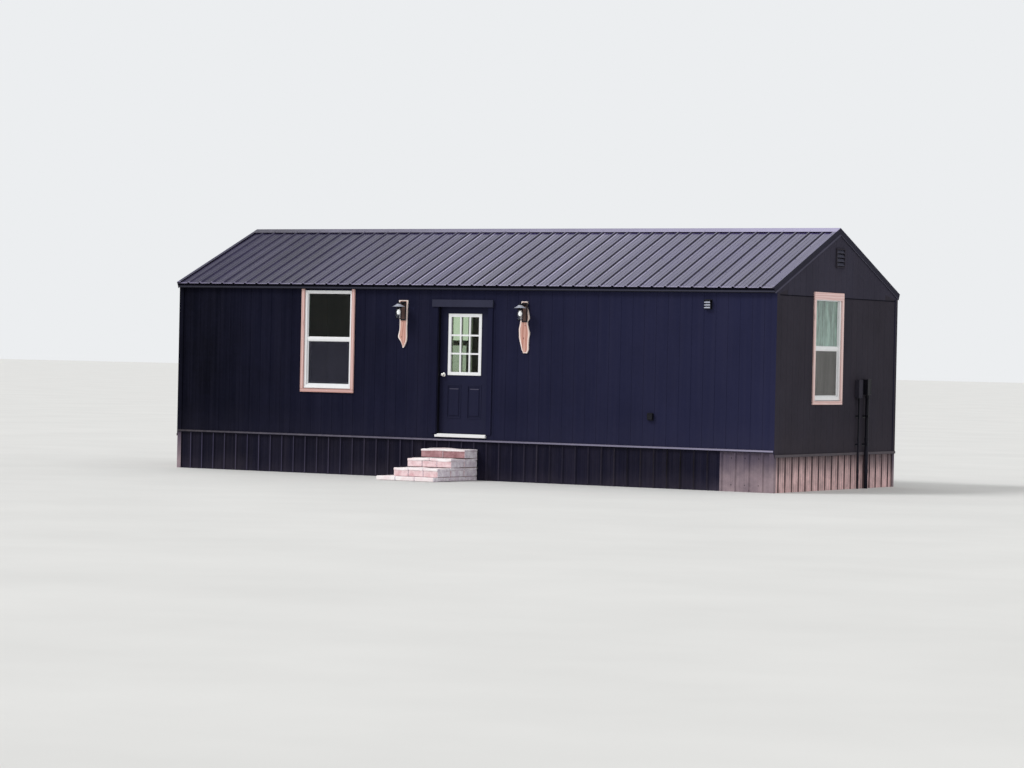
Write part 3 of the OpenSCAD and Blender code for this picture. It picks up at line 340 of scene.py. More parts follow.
def roofFinish(name, **changes):
    values = dict(sheetMetal, **changes)
    material, tree, shader, place = startFinish(name, values["roughness"], values["specular"])
    x, y, z = splitPlace(tree, place)
    sine, cosine = math.sin(values["slope"]), math.cos(values["slope"])
    away = maths(tree, "ABSOLUTE", y)
    fromEave = maths(tree, "SUBTRACT", times(tree, z, sine), times(tree, away, cosine))
    square = plus(tree, times(tree, z, cosine), times(tree, away, sine))
    laid = put(tree, "CombineXYZ", {0: x, 1: square, 2: plus(tree, fromEave, values["run"])}).outputs[0]
    dust = tone(*values["dust"])
    weathered = useEffect(tree, weathering, {
        "Place": laid, "Dust": dust, "Mottle": values["mottle"], "Streaks": values["streaks"], "Fade": values["fade"],
        # painted shade: the tone darkens towards the left end
        "Paint": blendColours(tree, remap(tree, x, -3.6, -0.4), tone(*values["leftPaint"]), tone(*values["paint"])),
        # pale band at the eave: dust and painted highlight
        "Dust Full": 0.0, "Dust End": values["edge"], "Dust Amount": values["edgeDust"], "Ragged": 0.01})
    sheet = maths(tree, "FLOOR", maths(tree, "DIVIDE", plus(tree, x, 30.0), values["sheetWide"]))
    own = put(tree, "TexWhiteNoise", {"W": sheet}, noise_dimensions="1D").outputs[0]
    toned = scaled(tree, weathered["Colour"], remap(tree, own, 0, 1, 1 - values["sheetTone"], 1 + values["sheetTone"]))
    offRib = maths(tree, "WRAP", maths(tree, "SUBTRACT", x, values["shift"]), values["pitch"])
    offRib.node.inputs[2].default_value = 0.0
    # pale line beside each rib: dust and painted highlight, strongest in the roof's middle
    besideRib = times(tree, remap(tree, offRib, 0.028, 0.036), remap(tree, offRib, 0.050, 0.062, 1, 0))
    along = times(tree, remap(tree, x, -3.4, -0.6), remap(tree, x, 1.6, 3.6, 1.0, 0.35))
    patchy = remap(tree, streaky(tree, laid, (1.6, 1.6, 0.5), 4), 0.38, 0.62, 0.25, 1.0)
    lineDust = times(tree, times(tree, besideRib, along), times(tree, patchy, values["ribDust"]), clamp=True)
    join = tree.links.new
    join(blendColours(tree, lineDust, toned, dust), shader.inputs["Base Color"])
    join(remap(tree, x, -5.2, 0.5, values["coatLeft"], values["coatRight"]), shader.inputs["Coat Weight"])
    join(plus(tree, weathered["Roughness"], values["roughness"], clamp=True), shader.inputs["Roughness"])
    addBump(tree, shader, streaky(tree, laid, (2.2, 2.2, 0.9), 3, 0.5), 0.06, 0.004)
    return material


roofPaint = roofFinish("roofPaint")
# Rib flanks: painted shade, much darker than the pans, lighter towards the left end
roofFlank = roofFinish("roofFlank", paint=(24, 20, 40), leftPaint=(56, 51, 80), streaks=0.05, specular=0.1, ribDust=0.0,
                       coatLeft=0.0, coatRight=0.1)


# Woods; the grain runs upright unless it is turned
cedar = dict(roughness=0.55, bands=26, wander=0.5, knots=0.35, bump=0.4)


def grainOf(tree, place, early, late, values, turn=(0, 0, 0)):
    return useEffect(tree, woodGrain, {
        "Place": stretched(tree, place, (1, 1, 1), turn), "Early": tone(*early), "Late": tone(*late),
        "Band Size": values["bands"], "Wander": values["wander"], "Knots": values["knots"]})


def woodFinish(name, early, late, turn=(0, 0, 0), **changes):
    values = dict(cedar, **changes)
    material, tree, shader, place = startFinish(name, values["roughness"], 0.4)
    grain = grainOf(tree, place, early, late, values, turn)
    tree.links.new(grain["Colour"], shader.inputs["Base Color"])
    addBump(tree, shader, grain["Height"], values["bump"], 0.0015)
    return material


alongX, alongY = (0, quarter, 0), (quarter, 0, 0)
cedarUpright = woodFinish("cedarUpright", (224, 190, 186), (192, 144, 134))
cedarAcross = woodFinish("cedarAcross", (218, 180, 176), (186, 134, 124), alongX)
# End windows' boards: painted light, paler copies of the same cedar
endUpright = woodFinish("endUpright", (250, 224, 220), (226, 184, 178))
endAcross = woodFinish("endAcross", (244, 214, 210), (216, 170, 164), alongY)
slabWood = woodFinish("slabWood", (216, 170, 156), (176, 116, 102), bands=15, wander=1.6, knots=0.0)
sapWood = woodFinish("sapWood", (252, 240, 234), (240, 214, 204), bands=12, knots=0.0)
knotWood = woodFinish("knotWood", (156, 108, 96), (112, 72, 64), bands=60, wander=0.3, knots=0.0)

# Floor boards, seen through the door and the windows
planks = dict(long=1.22, wide=0.18, gap=0.0025, bands=14.0, wander=0.9, knots=0.4)


def makePlankFinish():
    material, tree, shader, place = startFinish("floorPlanks", 0.45, 0.4)
    colours = {"Color1": tone(168, 138, 104), "Color2": tone(140, 110, 80), "Mortar": tone(70, 52, 38)}
    sizes = {"Mortar Size": planks["gap"], "Brick Width": planks["long"], "Row Height": planks["wide"]}
    rows = put(tree, "TexBrick", {"Vector": place, "Scale": 1.0, "Bias": 0.0, **sizes, **colours},
               offset=0.37, squash=1.0).outputs
    grain = grainOf(tree, place, (255, 250, 244), (214, 200, 184), planks, alongX)
    tree.links.new(blendColours(tree, 1.0, rows[0], grain["Colour"], "MULTIPLY"), shader.inputs["Base Color"])
    addBump(tree, shader, maths(tree, "SUBTRACT", grain["Height"], times(tree, rows[1], 2.0)), 0.3, 0.0015)
    return material


# Roof deck: bare boards over the room, painted where it passes the walls
deckValues = dict(bands=9.0, wander=0.5, knots=0.6, pastSide=2.10, pastEnd=5.42)


def makeDeckFinish():
    material, tree, shader, place = startFinish("deckFinish", 0.6, 0.2)
    grain = grainOf(tree, place, (206, 176, 132), (170, 132, 88), deckValues, alongX)
    x, y, _ = splitPlace(tree, place)
    pastSide = maths(tree, "GREATER_THAN", maths(tree, "ABSOLUTE", y), deckValues["pastSide"])
    pastEnd = maths(tree, "GREATER_THAN", maths(tree, "ABSOLUTE", x), deckValues["pastEnd"])
    weathered = useEffect(tree, weathering, {"Place": place, "Paint": tone(20, 20, 32), "Dust": tone(60, 60, 80),
                                             "Mottle": 0.1, "Streaks": 0.05, "Dust Amount": 0.0})
    outside = maths(tree, "MAXIMUM", pastSide, pastEnd)
    tree.links.new(blendColours(tree, outside, grain["Colour"], weathered["Colour"]), shader.inputs["Base Color"])
    addBump(tree, shader, grain["Height"], 0.4, 0.0015)
    return material


floorPlanks = makePlankFinish()
deckFinish = makeDeckFinish()


def stoneFinish(name, light, dark, patchScale, specks):
    material, tree, shader, place = startFinish(name, 0.9, 0.25)
    stone = useEffect(tree, castStone, {"Place": place, "Light": tone(*light), "Dark": tone(*dark),
                                        "Speck": tone(70, 60, 66), "Patch Scale": patchScale, "Speck Amount": specks})
    tree.links.new(stone["Colour"], shader.inputs["Base Color"])
    addBump(tree, shader, stone["Height"], 0.8, 0.004)
    return material


paverTop = stoneFinish("paverTop", (255, 252, 252), (246, 226, 228), 5.0, 0.2)
paverFront = stoneFinish("paverFront", (246, 226, 228), (220, 182, 186), 7.0, 0.35)
paverRose = stoneFinish("paverRose", (190, 150, 154), (146, 104, 108), 8.0, 0.8)
# Faces turned to +X: painted light, paler than the fronts
paverSide = stoneFinish("paverSide", (254, 248, 255), (222, 208, 222), 9.0, 0.9)
blockStone = stoneFinish("blockStone", (150, 146, 140), (118, 114, 110), 3.0, 0.6)

# Glass with faint smears; the end windows' panes are cloudier and greener, their pale green streaks a painted
# reflection
clearGlass = dict(roughness=0.02, refraction=1.2, clear=1.0, smears=(3, 3, 1.2), smearDepth=0.25, shade=0.72)


def glassFinish(name, colour, **changes):
    values = dict(clearGlass, **changes)
    material, tree, shader, place = startFinish(name, values["roughness"], 0.3)
    shader.inputs["Transmission Weight"].default_value = values["clear"]
    shader.inputs["IOR"].default_value = values["refraction"]
    # the streaks are smears, and on the end panes a painted reflection
    smear = remap(tree, streaky(tree, place, values["smears"], 5, 0.7), 0.35, 0.65, 0.0, values["smearDepth"])
    pane = tone(*colour)
    darker = tuple(values["shade"] * v for v in pane[:3]) + (1.0,)
    tree.links.new(blendColours(tree, smear, pane, darker), shader.inputs["Base Color"])
    return material


paneGlass = glassFinish("paneGlass", (214, 224, 214))
endPane = glassFinish("endPane", (206, 240, 226), roughness=0.06, refraction=1.5, clear=0.5, smears=(9, 9, 1.6),
                      smearDepth=1.0, shade=0.28)
doorLite = glassFinish("doorLite", (228, 242, 214))
jarGlass = glassFinish("jarGlass", (240, 244, 248), roughness=0.05, refraction=1.35)


def metalFinish(name, colour, roughness):
    material, tree, shader, place = startFinish(name, roughness, 0.5, 1.0)
    brushed = streaky(tree, place, (30, 30, 900), 4)
    worn = remap(tree, cloud(tree, place, 40, 4), 0.35, 0.7, 0.85, 1.05)
    tree.links.new(scaled(tree, tone(*colour), worn), shader.inputs["Base Color"])
    tree.links.new(remap(tree, brushed, 0.3, 0.7, roughness - 0.06, roughness + 0.08), shader.inputs["Roughness"])
    return material


nickel = metalFinish("nickel", (240, 238, 232), 0.3)


# Woven insect screen, sagging a little, with more or less of the room seen through it
def meshFinish(name, thin, thick, open, closed):
    material, tree, shader, place = startFinish(name, 0.8, 0.2)
    wires = [remap(tree, maths(tree, "SINE", times(tree, axis, 2200.0)), 0.2, 0.9) for axis in splitPlace(tree, place)]
    weave = maths(tree, "MAXIMUM", maths(tree, "MAXIMUM", wires[0], wires[1]), wires[2])
    sagging = remap(tree, streaky(tree, place, (7, 7, 0.9)), 0.3, 0.7, 0.82, 1.15)
    colour = blendColours(tree, weave, tone(*thin), tone(*thick))
    tree.links.new(scaled(tree, colour, sagging), shader.inputs["Base Color"])
    tree.links.new(remap(tree, weave, 0, 1, open, closed), shader.inputs["Alpha"])
    return material


insectMesh = meshFinish("insectMesh", (32, 32, 43), (50, 50, 63), 0.45, 0.75)
openMesh = meshFinish("openMesh", (60, 66, 60), (84, 92, 84), 0.1, 0.4)
# End windows' screens: painted light, a paler copy of the same mesh
endMesh = meshFinish("endMesh", (102, 102, 102), (136, 134, 132), 0.5, 0.8)


# Frosted bulb that glows though the lantern is off: a painted highlight that reads as a small pale light in the jar
def makeBulbFinish():
    material, tree, shader, place = startFinish("bulbFrost", 0.4, 0.5)
    frost = remap(tree, cloud(tree, place, 40, 3), 0.3, 0.7, 0.92, 1.0)
    tree.links.new(scaled(tree, tone(252, 250, 246), frost), shader.inputs["Base Color"])
    tree.links.new(scaled(tree, tone(255, 252, 246), frost), shader.inputs["Emission Color"])
    # painted highlight: the bulb glows though the lantern is off
    shader.inputs["Emission Strength"].default_value = 0.8
    return material


bulbFrost = makeBulbFinish()
print("finishes made")


# Finishes on the frame's own nodes
nodeFinishes = {
    liningPaint: ["front_wall_left", "front_wall_right", "front_wall_over_door", "back_wall", "end_walls"],
    frontPaint: ["front_siding", "back_siding", "corner_trims", "door_casing"],
    endPaint: ["end_siding", "gable_louvres"], edgePaint: ["roof_edge_boards", "rake_trims"],
    deckFinish: ["front_roof_deck", "back_roof_deck"], skirtPaint: ["front_skirt", "back_skirt"],
    vinylFinish: ["window_frames", "lower_sashes", "door_sill", "door_lite_frame"],
    doorPaint: ["door_frame", "door_slab"], nickel: ["door_knobs", "door_hinges", "jamb_hinges"],
    blackPaint: ["lanterns", "wall_fittings", "conduits"], paverFront: ["lower_step", "middle_step", "top_step"],
    blockStone: ["piers"], floorPlanks: ["floor"], flashingPaint: ["wall_flashings"], roofPaint: ["roof_sheets"],
    capPaint: ["ridge_cap"], endSkirtPaint: ["end_skirts"], paneGlass: ["window_glass"], insectMesh: ["window_screens"],
    cedarUpright: ["window_boards"], doorLite: ["door_glass"], slabWood: ["light_boards"], jarGlass: ["lantern_glass"],
    paverTop: ["step_base"],
}
for material, nodeNames in nodeFinishes.items():
    for nodeName in nodeNames:
        slots = nodes[nodeName].data.materials
        slots.clear()
        slots.append(material)


# Main measures of the cabin, as its source has them
house = dict(halfLength=5.4865, halfWidth=2.1335, skirtTop=0.634, eave=2.991, slope=math.radians(23.27), deck=0.085,
             sheetOut=0.098, ribPitch=0.2286, ribHeight=0.019, ribs=23, roofShift=-0.004, skirtShift=0.038,
             siding=0.016)
halfLength, halfWidth = house["halfLength"], house["halfWidth"]
frontFace = -halfWidth
sine, cosine = math.sin(house["slope"]), math.cos(house["slope"])
deckTop = house["eave"] + halfWidth * math.tan(house["slope"]) + house["deck"] / cosine
roofRun = (halfWidth + house["sheetOut"]) / cosine
firstRib = -house["ribs"] * house["ribPitch"]


# Modelling helpers
def clearSelection():
    active = bpy.context.view_layer.objects.active
    if active and active.mode != "OBJECT":
        bpy.ops.object.mode_set(mode="OBJECT")
    bpy.ops.object.select_all(action="DESELECT")


def take(piece):
    clearSelection()
    piece.select_set(True)
    bpy.context.view_layer.objects.active = piece
    return piece


# Edit mode with the wanted faces selected; wanted gets a face's middle and normal
def pickFaces(piece, wanted=None):
    take(piece)
    bpy.ops.object.mode_set(mode="EDIT")
    bpy.ops.mesh.select_mode(type="FACE")
    bpy.ops.mesh.select_all(action="DESELECT")
    shape = bmesh.from_edit_mesh(piece.data)
    for face in shape.faces:
        if wanted is None or wanted(face.calc_center_median(), face.normal):
            face.select_set(True)
    bmesh.update_edit_mesh(piece.data)


def doneEditing():
    bpy.ops.object.mode_set(mode="OBJECT")


def placed(piece, name):
    piece.name = name
    bpy.ops.object.transform_apply(location=True, rotation=True, scale=True)
    return piece


def moved(piece, place, turn=(0, 0, 0)):
    piece.rotation_euler = turn
    piece.location = place
    take(piece)
    return placed(piece, piece.name)


def block(name, low, high):
    clearSelection()
    middle = [(a + b) / 2 for a, b in zip(low, high)]
    bpy.ops.mesh.primitive_cube_add(size=1, location=middle, scale=[b - a for a, b in zip(low, high)])
    return placed(bpy.context.object, name)


def disc(name, place, radius, depth, sides, turn=(quarter, 0, 0)):
    clearSelection()
    bpy.ops.mesh.primitive_cylinder_add(vertices=sides, radius=radius, depth=depth, location=place, rotation=turn)
    return placed(bpy.context.object, name)


def withModifier(piece, kind, **settings):
    take(piece)
    modifier = piece.modifiers.new(kind, kind)
    for key, value in settings.items():
        setattr(modifier, key, value)
    bpy.ops.object.modifier_apply(modifier=modifier.name)
    return piece


def easeEdges(piece, width, segments=2, angle=30):
    return withModifier(piece, "BEVEL", width=width, segments=segments, limit_method="ANGLE",
                        angle_limit=math.radians(angle))


def smoothed(piece, angle=35):
    take(piece)
    bpy.ops.object.shade_smooth_by_angle(angle=math.radians(angle))
    return piece


def board(name, low, high, ease=0.002):
    piece = block(name, low, high)
    return easeEdges(piece, ease) if ease else piece


# Picture-frame shape standing along X, from its low to its high corner
def frameRing(name, low, high, side, rail, ease=0.002):
    clearSelection()
    wide, deep, tall = [b - a for a, b in zip(low, high)]
    middle = ((low[0] + high[0]) / 2, low[1], (low[2] + high[2]) / 2)
    bpy.ops.mesh.primitive_plane_add(size=1, location=middle, rotation=(quarter, 0, 0))
    bpy.context.object.scale = (wide, tall, 1)
    piece = placed(bpy.context.object, name)
    pickFaces(piece)
    bpy.ops.mesh.inset(thickness=side)
    share = (tall - 2 * rail) / (tall - 2 * side)
    bpy.ops.transform.resize(value=(1, 1, share), center_override=middle)
    bpy.ops.mesh.delete(type="FACE")
    bpy.ops.mesh.select_all(action="SELECT")
    bpy.ops.mesh.extrude_region_move(TRANSFORM_OT_translate={"value": (0, deep, 0)})
    bpy.ops.mesh.select_all(action="SELECT")
    bpy.ops.mesh.normals_make_consistent(inside=False)
    doneEditing()
    return easeEdges(piece, ease)


# Board or ring on the front wall: middle and half width in X, then depths measured inwards from the wall's face
def wallBoard(name, x, half, near, far, low, high, ease=0.003):
    return board(name, (x - half, frontFace + near, low), (x + half, frontFace + far, high), ease)


def wallRing(name, x, half, near, far, low, high, side, ease=0.003, rail=None):
    start, end = (x - half, frontFace + near, low), (x + half, frontFace + far, high)
    return frameRing(name, start, end, side, rail or side, ease)


# A profile of (radius, height) pairs turned about an upright axis
def turned(name, middle, profile, steps=24, angle=35):
    clearSelection()
    start = (middle[0] + profile[0][0], middle[1], middle[2] + profile[0][1])
    bpy.ops.mesh.primitive_plane_add(size=0.01, location=start)
    piece = placed(bpy.context.object, name)
    bpy.ops.object.mode_set(mode="EDIT")
    bpy.ops.mesh.select_mode(type="VERT")
    bpy.ops.mesh.select_all(action="SELECT")
    bpy.ops.mesh.merge(type="CENTER")
    for (r0, z0), (r1, z1) in zip(profile, profile[1:]):
        bpy.ops.mesh.extrude_vertices_move(TRANSFORM_OT_translate={"value": (r1 - r0, 0, z1 - z0)})
    bpy.ops.mesh.select_all(action="SELECT")
    bpy.ops.mesh.spin(steps=steps, angle=2 * math.pi, center=middle, axis=(0, 0, 1))
    bpy.ops.mesh.select_all(action="SELECT")
    bpy.ops.mesh.remove_doubles(threshold=0.00005)
    bpy.ops.mesh.normals_make_consistent(inside=False)
    doneEditing()
    return smoothed(piece, angle)


# Round bar bent between two ends, each with its place and its handle
def bentBar(name, ends, radius, roundness, steps):
    clearSelection()
    bpy.ops.curve.primitive_bezier_curve_add(location=(0, 0, 0))
    curve = bpy.context.object
    for point, (place, handle) in zip(curve.data.splines[0].bezier_points, ends):
        point.handle_left_type = point.handle_right_type = "FREE"
        point.co = place
        point.handle_left = point.handle_right = handle
    curve.data.bevel_depth = radius
    curve.data.bevel_resolution = roundness
    curve.data.resolution_u = steps
    curve.data.use_fill_caps = True
    take(curve)
    bpy.ops.object.convert(target="MESH")
    return smoothed(placed(bpy.context.object, name))


def joined(name, parts):
    clearSelection()
    for part in parts:
        part.select_set(True)
    bpy.context.view_layer.objects.active = parts[0]
    if len(parts) > 1:
        bpy.ops.object.join()
    parts[0].name = name
    parts[0].data.name = name
    return parts[0]


def copied(piece, name, move=(0, 0, 0), turn=0.0):
    take(piece)
    bpy.ops.object.duplicate(linked=False)
    twin = bpy.context.object
    twin.location = move
    twin.rotation_euler = (0, 0, turn)
    return placed(twin, name)


def discard(*pieces):
    for piece in pieces:
        bpy.data.objects.remove(piece)


def rowOf(piece, count, step):
    return withModifier(piece, "ARRAY", count=count, use_relative_offset=False, use_constant_offset=True,
                        constant_offset_displace=step)


# A piece made for the front wall, carried to both end walls
def toEnds(piece, rightName, leftName):
    right = copied(piece, rightName, (halfLength - halfWidth, 0, 0), quarter)
    left = copied(piece, leftName, (halfWidth - halfLength, 0, 0), -quarter)
    discard(piece)
    return [right, left]


# Copy of a node of the frame, with its loose triangles merged and its flat faces made whole
def nodeCopy(nodeName, name, whole=True):
    clearSelection()
    piece = bpy.data.objects.new(name, nodes[nodeName].data.copy())
    bpy.context.scene.collection.objects.link(piece)
    pickFaces(piece)
    bpy.ops.mesh.remove_doubles(threshold=0.00005)
    if whole:
        bpy.ops.mesh.dissolve_limited(angle_limit=math.radians(1))
    doneEditing()
    return piece


def painted(piece, material):
    piece.data.materials.clear()
    piece.data.materials.append(material)
    return piece


# A second finish on the wanted faces
def repaint(piece, material, wanted):
    piece.data.materials.append(material)
    for face in piece.data.polygons:
        if wanted(face):
            face.material_index = len(piece.data.materials) - 1
    return piece


def fitted(piece, material=None, body="house", instead=()):
    if material:
        painted(piece, material)
    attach(piece, body)
    if instead:
        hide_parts(*instead)
    return piece


# Grooved siding
grooves = dict(pitch=0.2032, width=0.0055, endWidth=0.003, depth=0.0025, firstFromRight=0.196, lastFromLeft=0.054,
               endFirst=0.165, endCount=20)


def cutGrooves(piece, places, axis, outward):
    along = Vector((1, 0, 0)) if axis == 0 else Vector((0, 1, 0))
    half = grooves["width" if axis == 0 else "endWidth"] / 2
    for place in places:
        for edge in (place - half, place + half):
            pickFaces(piece)
            bpy.ops.mesh.bisect(plane_co=along * edge, plane_no=along)
    pickFaces(piece, lambda middle, normal: normal.dot(outward) > 0.9
              and min(abs(middle[axis] - place) for place in places) < half * 0.9)
    bpy.ops.mesh.extrude_region_move(TRANSFORM_OT_translate={"value": -outward * grooves["depth"]})
    doneEditing()
    return piece


def makeSiding():
    pitch, first = grooves["pitch"], grooves["firstFromRight"]
    count = int((2 * halfLength - first - grooves["lastFromLeft"]) / pitch) + 1
    places = [halfLength - first - k * pitch for k in range(count)]
    for nodeName, name, side in (("front_siding", "frontSiding", -1), ("back_siding", "backSiding", 1)):
        piece = cutGrooves(nodeCopy(nodeName, name, False), [-side * p for p in places], 0, Vector((0, side, 0)))
        fitted(piece, frontPaint, instead=[nodeName])
    endPlaces = [frontFace + grooves["endFirst"] + k * pitch for k in range(grooves["endCount"])]
    ends = nodeCopy("end_siding", "endSiding", False)
    for side in (1, -1):
        cutGrooves(ends, endPlaces, 1, Vector((side, 0, 0)))
    repaint(painted(ends, endPaint), gablePaint, lambda face: face.center.z > house["eave"])
    fitted(ends, instead=["end_siding"])


# Wall linings; the boxed hole behind a gable louvre is painted black as painted shade, and a black plate in place of
# its screen also stands for the shade inside
louvre = dict(up=3.36, reach=0.30, screenIn=0.030, screenThick=0.001, screenWide=0.28, middle=3.5585)


def makeEndWalls():
    inHole = lambda face: (face.center.z > louvre["up"] and abs(face.center.y) < louvre["reach"]
                           and abs(face.normal.x) < 0.5)
    walls = repaint(painted(nodeCopy("end_walls", "endWalls"), liningPaint), blackPaint, inHole)
    fitted(walls, instead=["end_walls"])
    screens = []
    reach, middle = louvre["screenWide"] / 2, louvre["middle"]
    for side in (-1, 1):
        near = halfLength - louvre["screenIn"]
        x0, x1 = sorted((side * near, side * (near - louvre["screenThick"])))
        screens.append(block("louvreScreen", (x0, -reach, middle - reach), (x1, reach, middle + reach)))
    fitted(joined("louvreScreens", screens), blackPaint)


makeSiding()
makeEndWalls()
print("siding and linings done")


# Windows, modelled on the front wall at x = 0 and copied to their five places
window = dict(width=0.914, height=1.575, sill=1.371, vinyl=0.041, foot=0.055, depth=0.092, rail=0.054, railLow=2.137,
              railSet=0.012, lowerSet=0.058, upperSet=0.040, sashDepth=0.024, sashTall=0.745, stile=0.038,
              sashRail=0.050, boardWide=0.057, boardThick=0.025, sillBoard=0.055, boardGap=0.006, headBoard=0.117,
              screenSet=0.030, screenThick=0.008, screenEdge=0.024, screenTop=0.010, lap=0.001, pane=0.012,
              weepOut=0.27, clearance=0.003)
endMove = halfLength - halfWidth
windowPlaces = [("Front", (-2.530, 0, 0), 0),
                ("BackLeft", (2.885, 0, 0), 2 * quarter), ("BackRight", (-2.885, 0, 0), 2 * quarter),
                ("RightEnd", (endMove, -0.373, 0), quarter), ("LeftEnd", (-endMove, -0.373, 0), -quarter)]


def toAllWindows(piece, name, places=windowPlaces):
    twins = [copied(piece, name + label, move, turn) for label, move, turn in places]
    discard(piece)
    return joined(name, twins)


def makeWindowFrames():
    w = window
    half, sill, lap = w["width"] / 2, w["sill"], w["lap"]
    top, low, railTop = sill + w["height"], sill + w["foot"], w["railLow"] + w["rail"]
    inner, inTop = half - w["vinyl"] + lap, top - w["vinyl"] + lap
    parts = [
        wallRing("outerRing", 0, half, 0, w["depth"], sill, top, w["vinyl"]),
        wallBoard("frameFoot", 0, inner, lap, w["depth"], sill + 0.030, low),
        wallRing("innerStep", 0, inner, 0.010, 0.016, low - lap, inTop, 0.006, 0.001),
        wallBoard("meetingRail", 0, inner, w["railSet"], 0.052, w["railLow"] + 0.020, railTop),
        wallBoard("railLip", 0, inner, w["railSet"] + 0.004, 0.029, w["railLow"], w["railLow"] + 0.022, 0.002),
        wallBoard("railLatch", 0.29 - half + w["vinyl"], 0.02, w["railSet"] + 0.003, 0.034,
                  railTop - lap, railTop + 0.009),
        wallRing("upperBead", 0, inner, w["upperSet"] - 0.008, w["upperSet"], railTop - lap, inTop, 0.013, 0.002),
        wallBoard("sillNose", 0, half - 0.004, -0.006, 0.004, sill + 0.004, sill + 0.024)]
    for x in (-w["weepOut"], w["weepOut"]):
        parts.append(wallBoard("weepCover", x, 0.018, -0.009, -0.005, sill + 0.010, sill + 0.019, 0.002))
    frames = painted(joined("windowFrames", parts), vinylFinish)
    fitted(toAllWindows(frames, "windowFrames"), instead=["window_frames"])


def makeSashes():
    w = window
    half = w["width"] / 2 - w["vinyl"] - w["clearance"]
    low, near, rail = w["sill"] + w["foot"], w["lowerSet"], w["sashRail"]
    far, top = near + w["sashDepth"], low + w["sashTall"]
    parts = [
        wallRing("sashRing", 0, half, near, far, low, top, w["stile"], 0.003, rail),
        wallRing("sashBead", 0, half - w["stile"] + 0.003, near + 0.001, near + 0.006,
                 low + rail - 0.003, top - rail + 0.003, 0.010, 0.0015),
        wallBoard("liftRail", 0, 0.18, far - 0.002, far + 0.016, low + 0.006, low + 0.016),
        wallBoard("lockBase", 0, 0.032, near + 0.004, near + 0.022, top - 0.001, top + 0.010),
        wallBoard("lockLever", 0.012, 0.024, near + 0.010, near + 0.020, top + 0.009, top + 0.017)]
    for side in (-1, 1):
        parts.append(wallBoard("tiltLatch", side * (half - 0.045), 0.022, near + 0.004, near + 0.020,
                               top - 0.001, top + 0.006, 0.002))
    sash = painted(joined("lowerSashes", parts), vinylFinish)
    fitted(toAllWindows(sash, "lowerSashes"), instead=["lower_sashes"])


def makeScreens():
    w = window
    half, low = w["width"] / 2 - w["vinyl"], w["sill"] + w["foot"]
    near, edge, high = w["screenSet"], w["screenEdge"], w["railLow"] - w["screenTop"]
    ring = wallRing("screenRim", 0, half, near, near + w["screenThick"], low, high + edge, edge, 0.002)
    rim = painted(ring, vinylFinish)
    cloth = wallBoard("screenCloth", 0, half - edge + 0.004, near + 0.0045, near + 0.0049,
                      low + edge - 0.004, high + 0.004, 0)
    tabs = []
    for side in (-1, 1):
        tab = wallBoard("pullTab", side * (half - 0.10), 0.012, near - 0.004, near + 0.001,
                        low + 0.004, low + 0.014, 0.0015)
        tabs.append(painted(tab, vinylFinish))
    for label, finish, places in (("Front", insectMesh, windowPlaces[:1]), ("Back", openMesh, windowPlaces[1:3]),
                                  ("End", endMesh, windowPlaces[3:])):
        parts = [copied(rim, "rim"), painted(copied(cloth, "cloth"), finish)] + [copied(tab, "tab") for tab in tabs]
        screens = toAllWindows(joined("screens" + label, parts), "windowScreens" + label, places)
        fitted(screens, instead=["window_screens"])
    discard(rim, cloth, *tabs)


# Sealed double panes with a spacer round their edge
def makePanes():
    w = window
    half, low = w["width"] / 2 - w["vinyl"], w["sill"] + w["foot"]
    upperLow, upperHigh = w["railLow"] + w["rail"], w["sill"] + w["height"] - w["vinyl"]
    near, nearLow = w["upperSet"], w["lowerSet"] + (w["sashDepth"] - w["pane"]) / 2
    halfLow = half - w["clearance"] - w["stile"]
    for label, finish, places in (("Long", paneGlass, windowPlaces[:3]), ("End", endPane, windowPlaces[3:])):
        upper = wallBoard("upperPane", 0, half, near, near + w["pane"], upperLow, upperHigh, 0.0005)
        lower = wallBoard("lowerPane", 0, halfLow, nearLow, nearLow + w["pane"], low + w["sashRail"],
                          low + w["sashTall"] - w["sashRail"], 0.0005)
        spacer = wallRing("spacer", 0, half - 0.012, near + 0.013, near + 0.018,
                          upperLow + 0.002, upperHigh - 0.010, 0.008, 0.0005)
        panes = joined("panes" + label, [painted(upper, finish), painted(lower, finish), painted(spacer, blackPaint)])
        fitted(toAllWindows(panes, "windowPanes" + label, places), instead=["window_glass"])


# Board with nail heads at both ends and the middle
nailHead = dict(radius=0.004, tall=0.0012, fromTop=0.06, fromSide=0.05)


def cedarBoard(name, low, high, upright, finish):
    piece = painted(board(name, low, high, 0.003), finish)
    x, z = (low[0] + high[0]) / 2, (low[2] + high[2]) / 2
    if upright:
        spots = [(x, up) for up in (low[2] + nailHead["fromTop"], z, high[2] - nailHead["fromTop"])]
    else:
        spots = [(across, z) for across in (low[0] + nailHead["fromSide"], x, high[0] - nailHead["fromSide"])]
    nails = []
    for x, z in spots:
        nail = disc("nailHead", (x, low[1] - 0.0001, z), nailHead["radius"], nailHead["tall"], 10)
        nails.append(painted(nail, nickel))
    return joined(name, [piece] + nails)


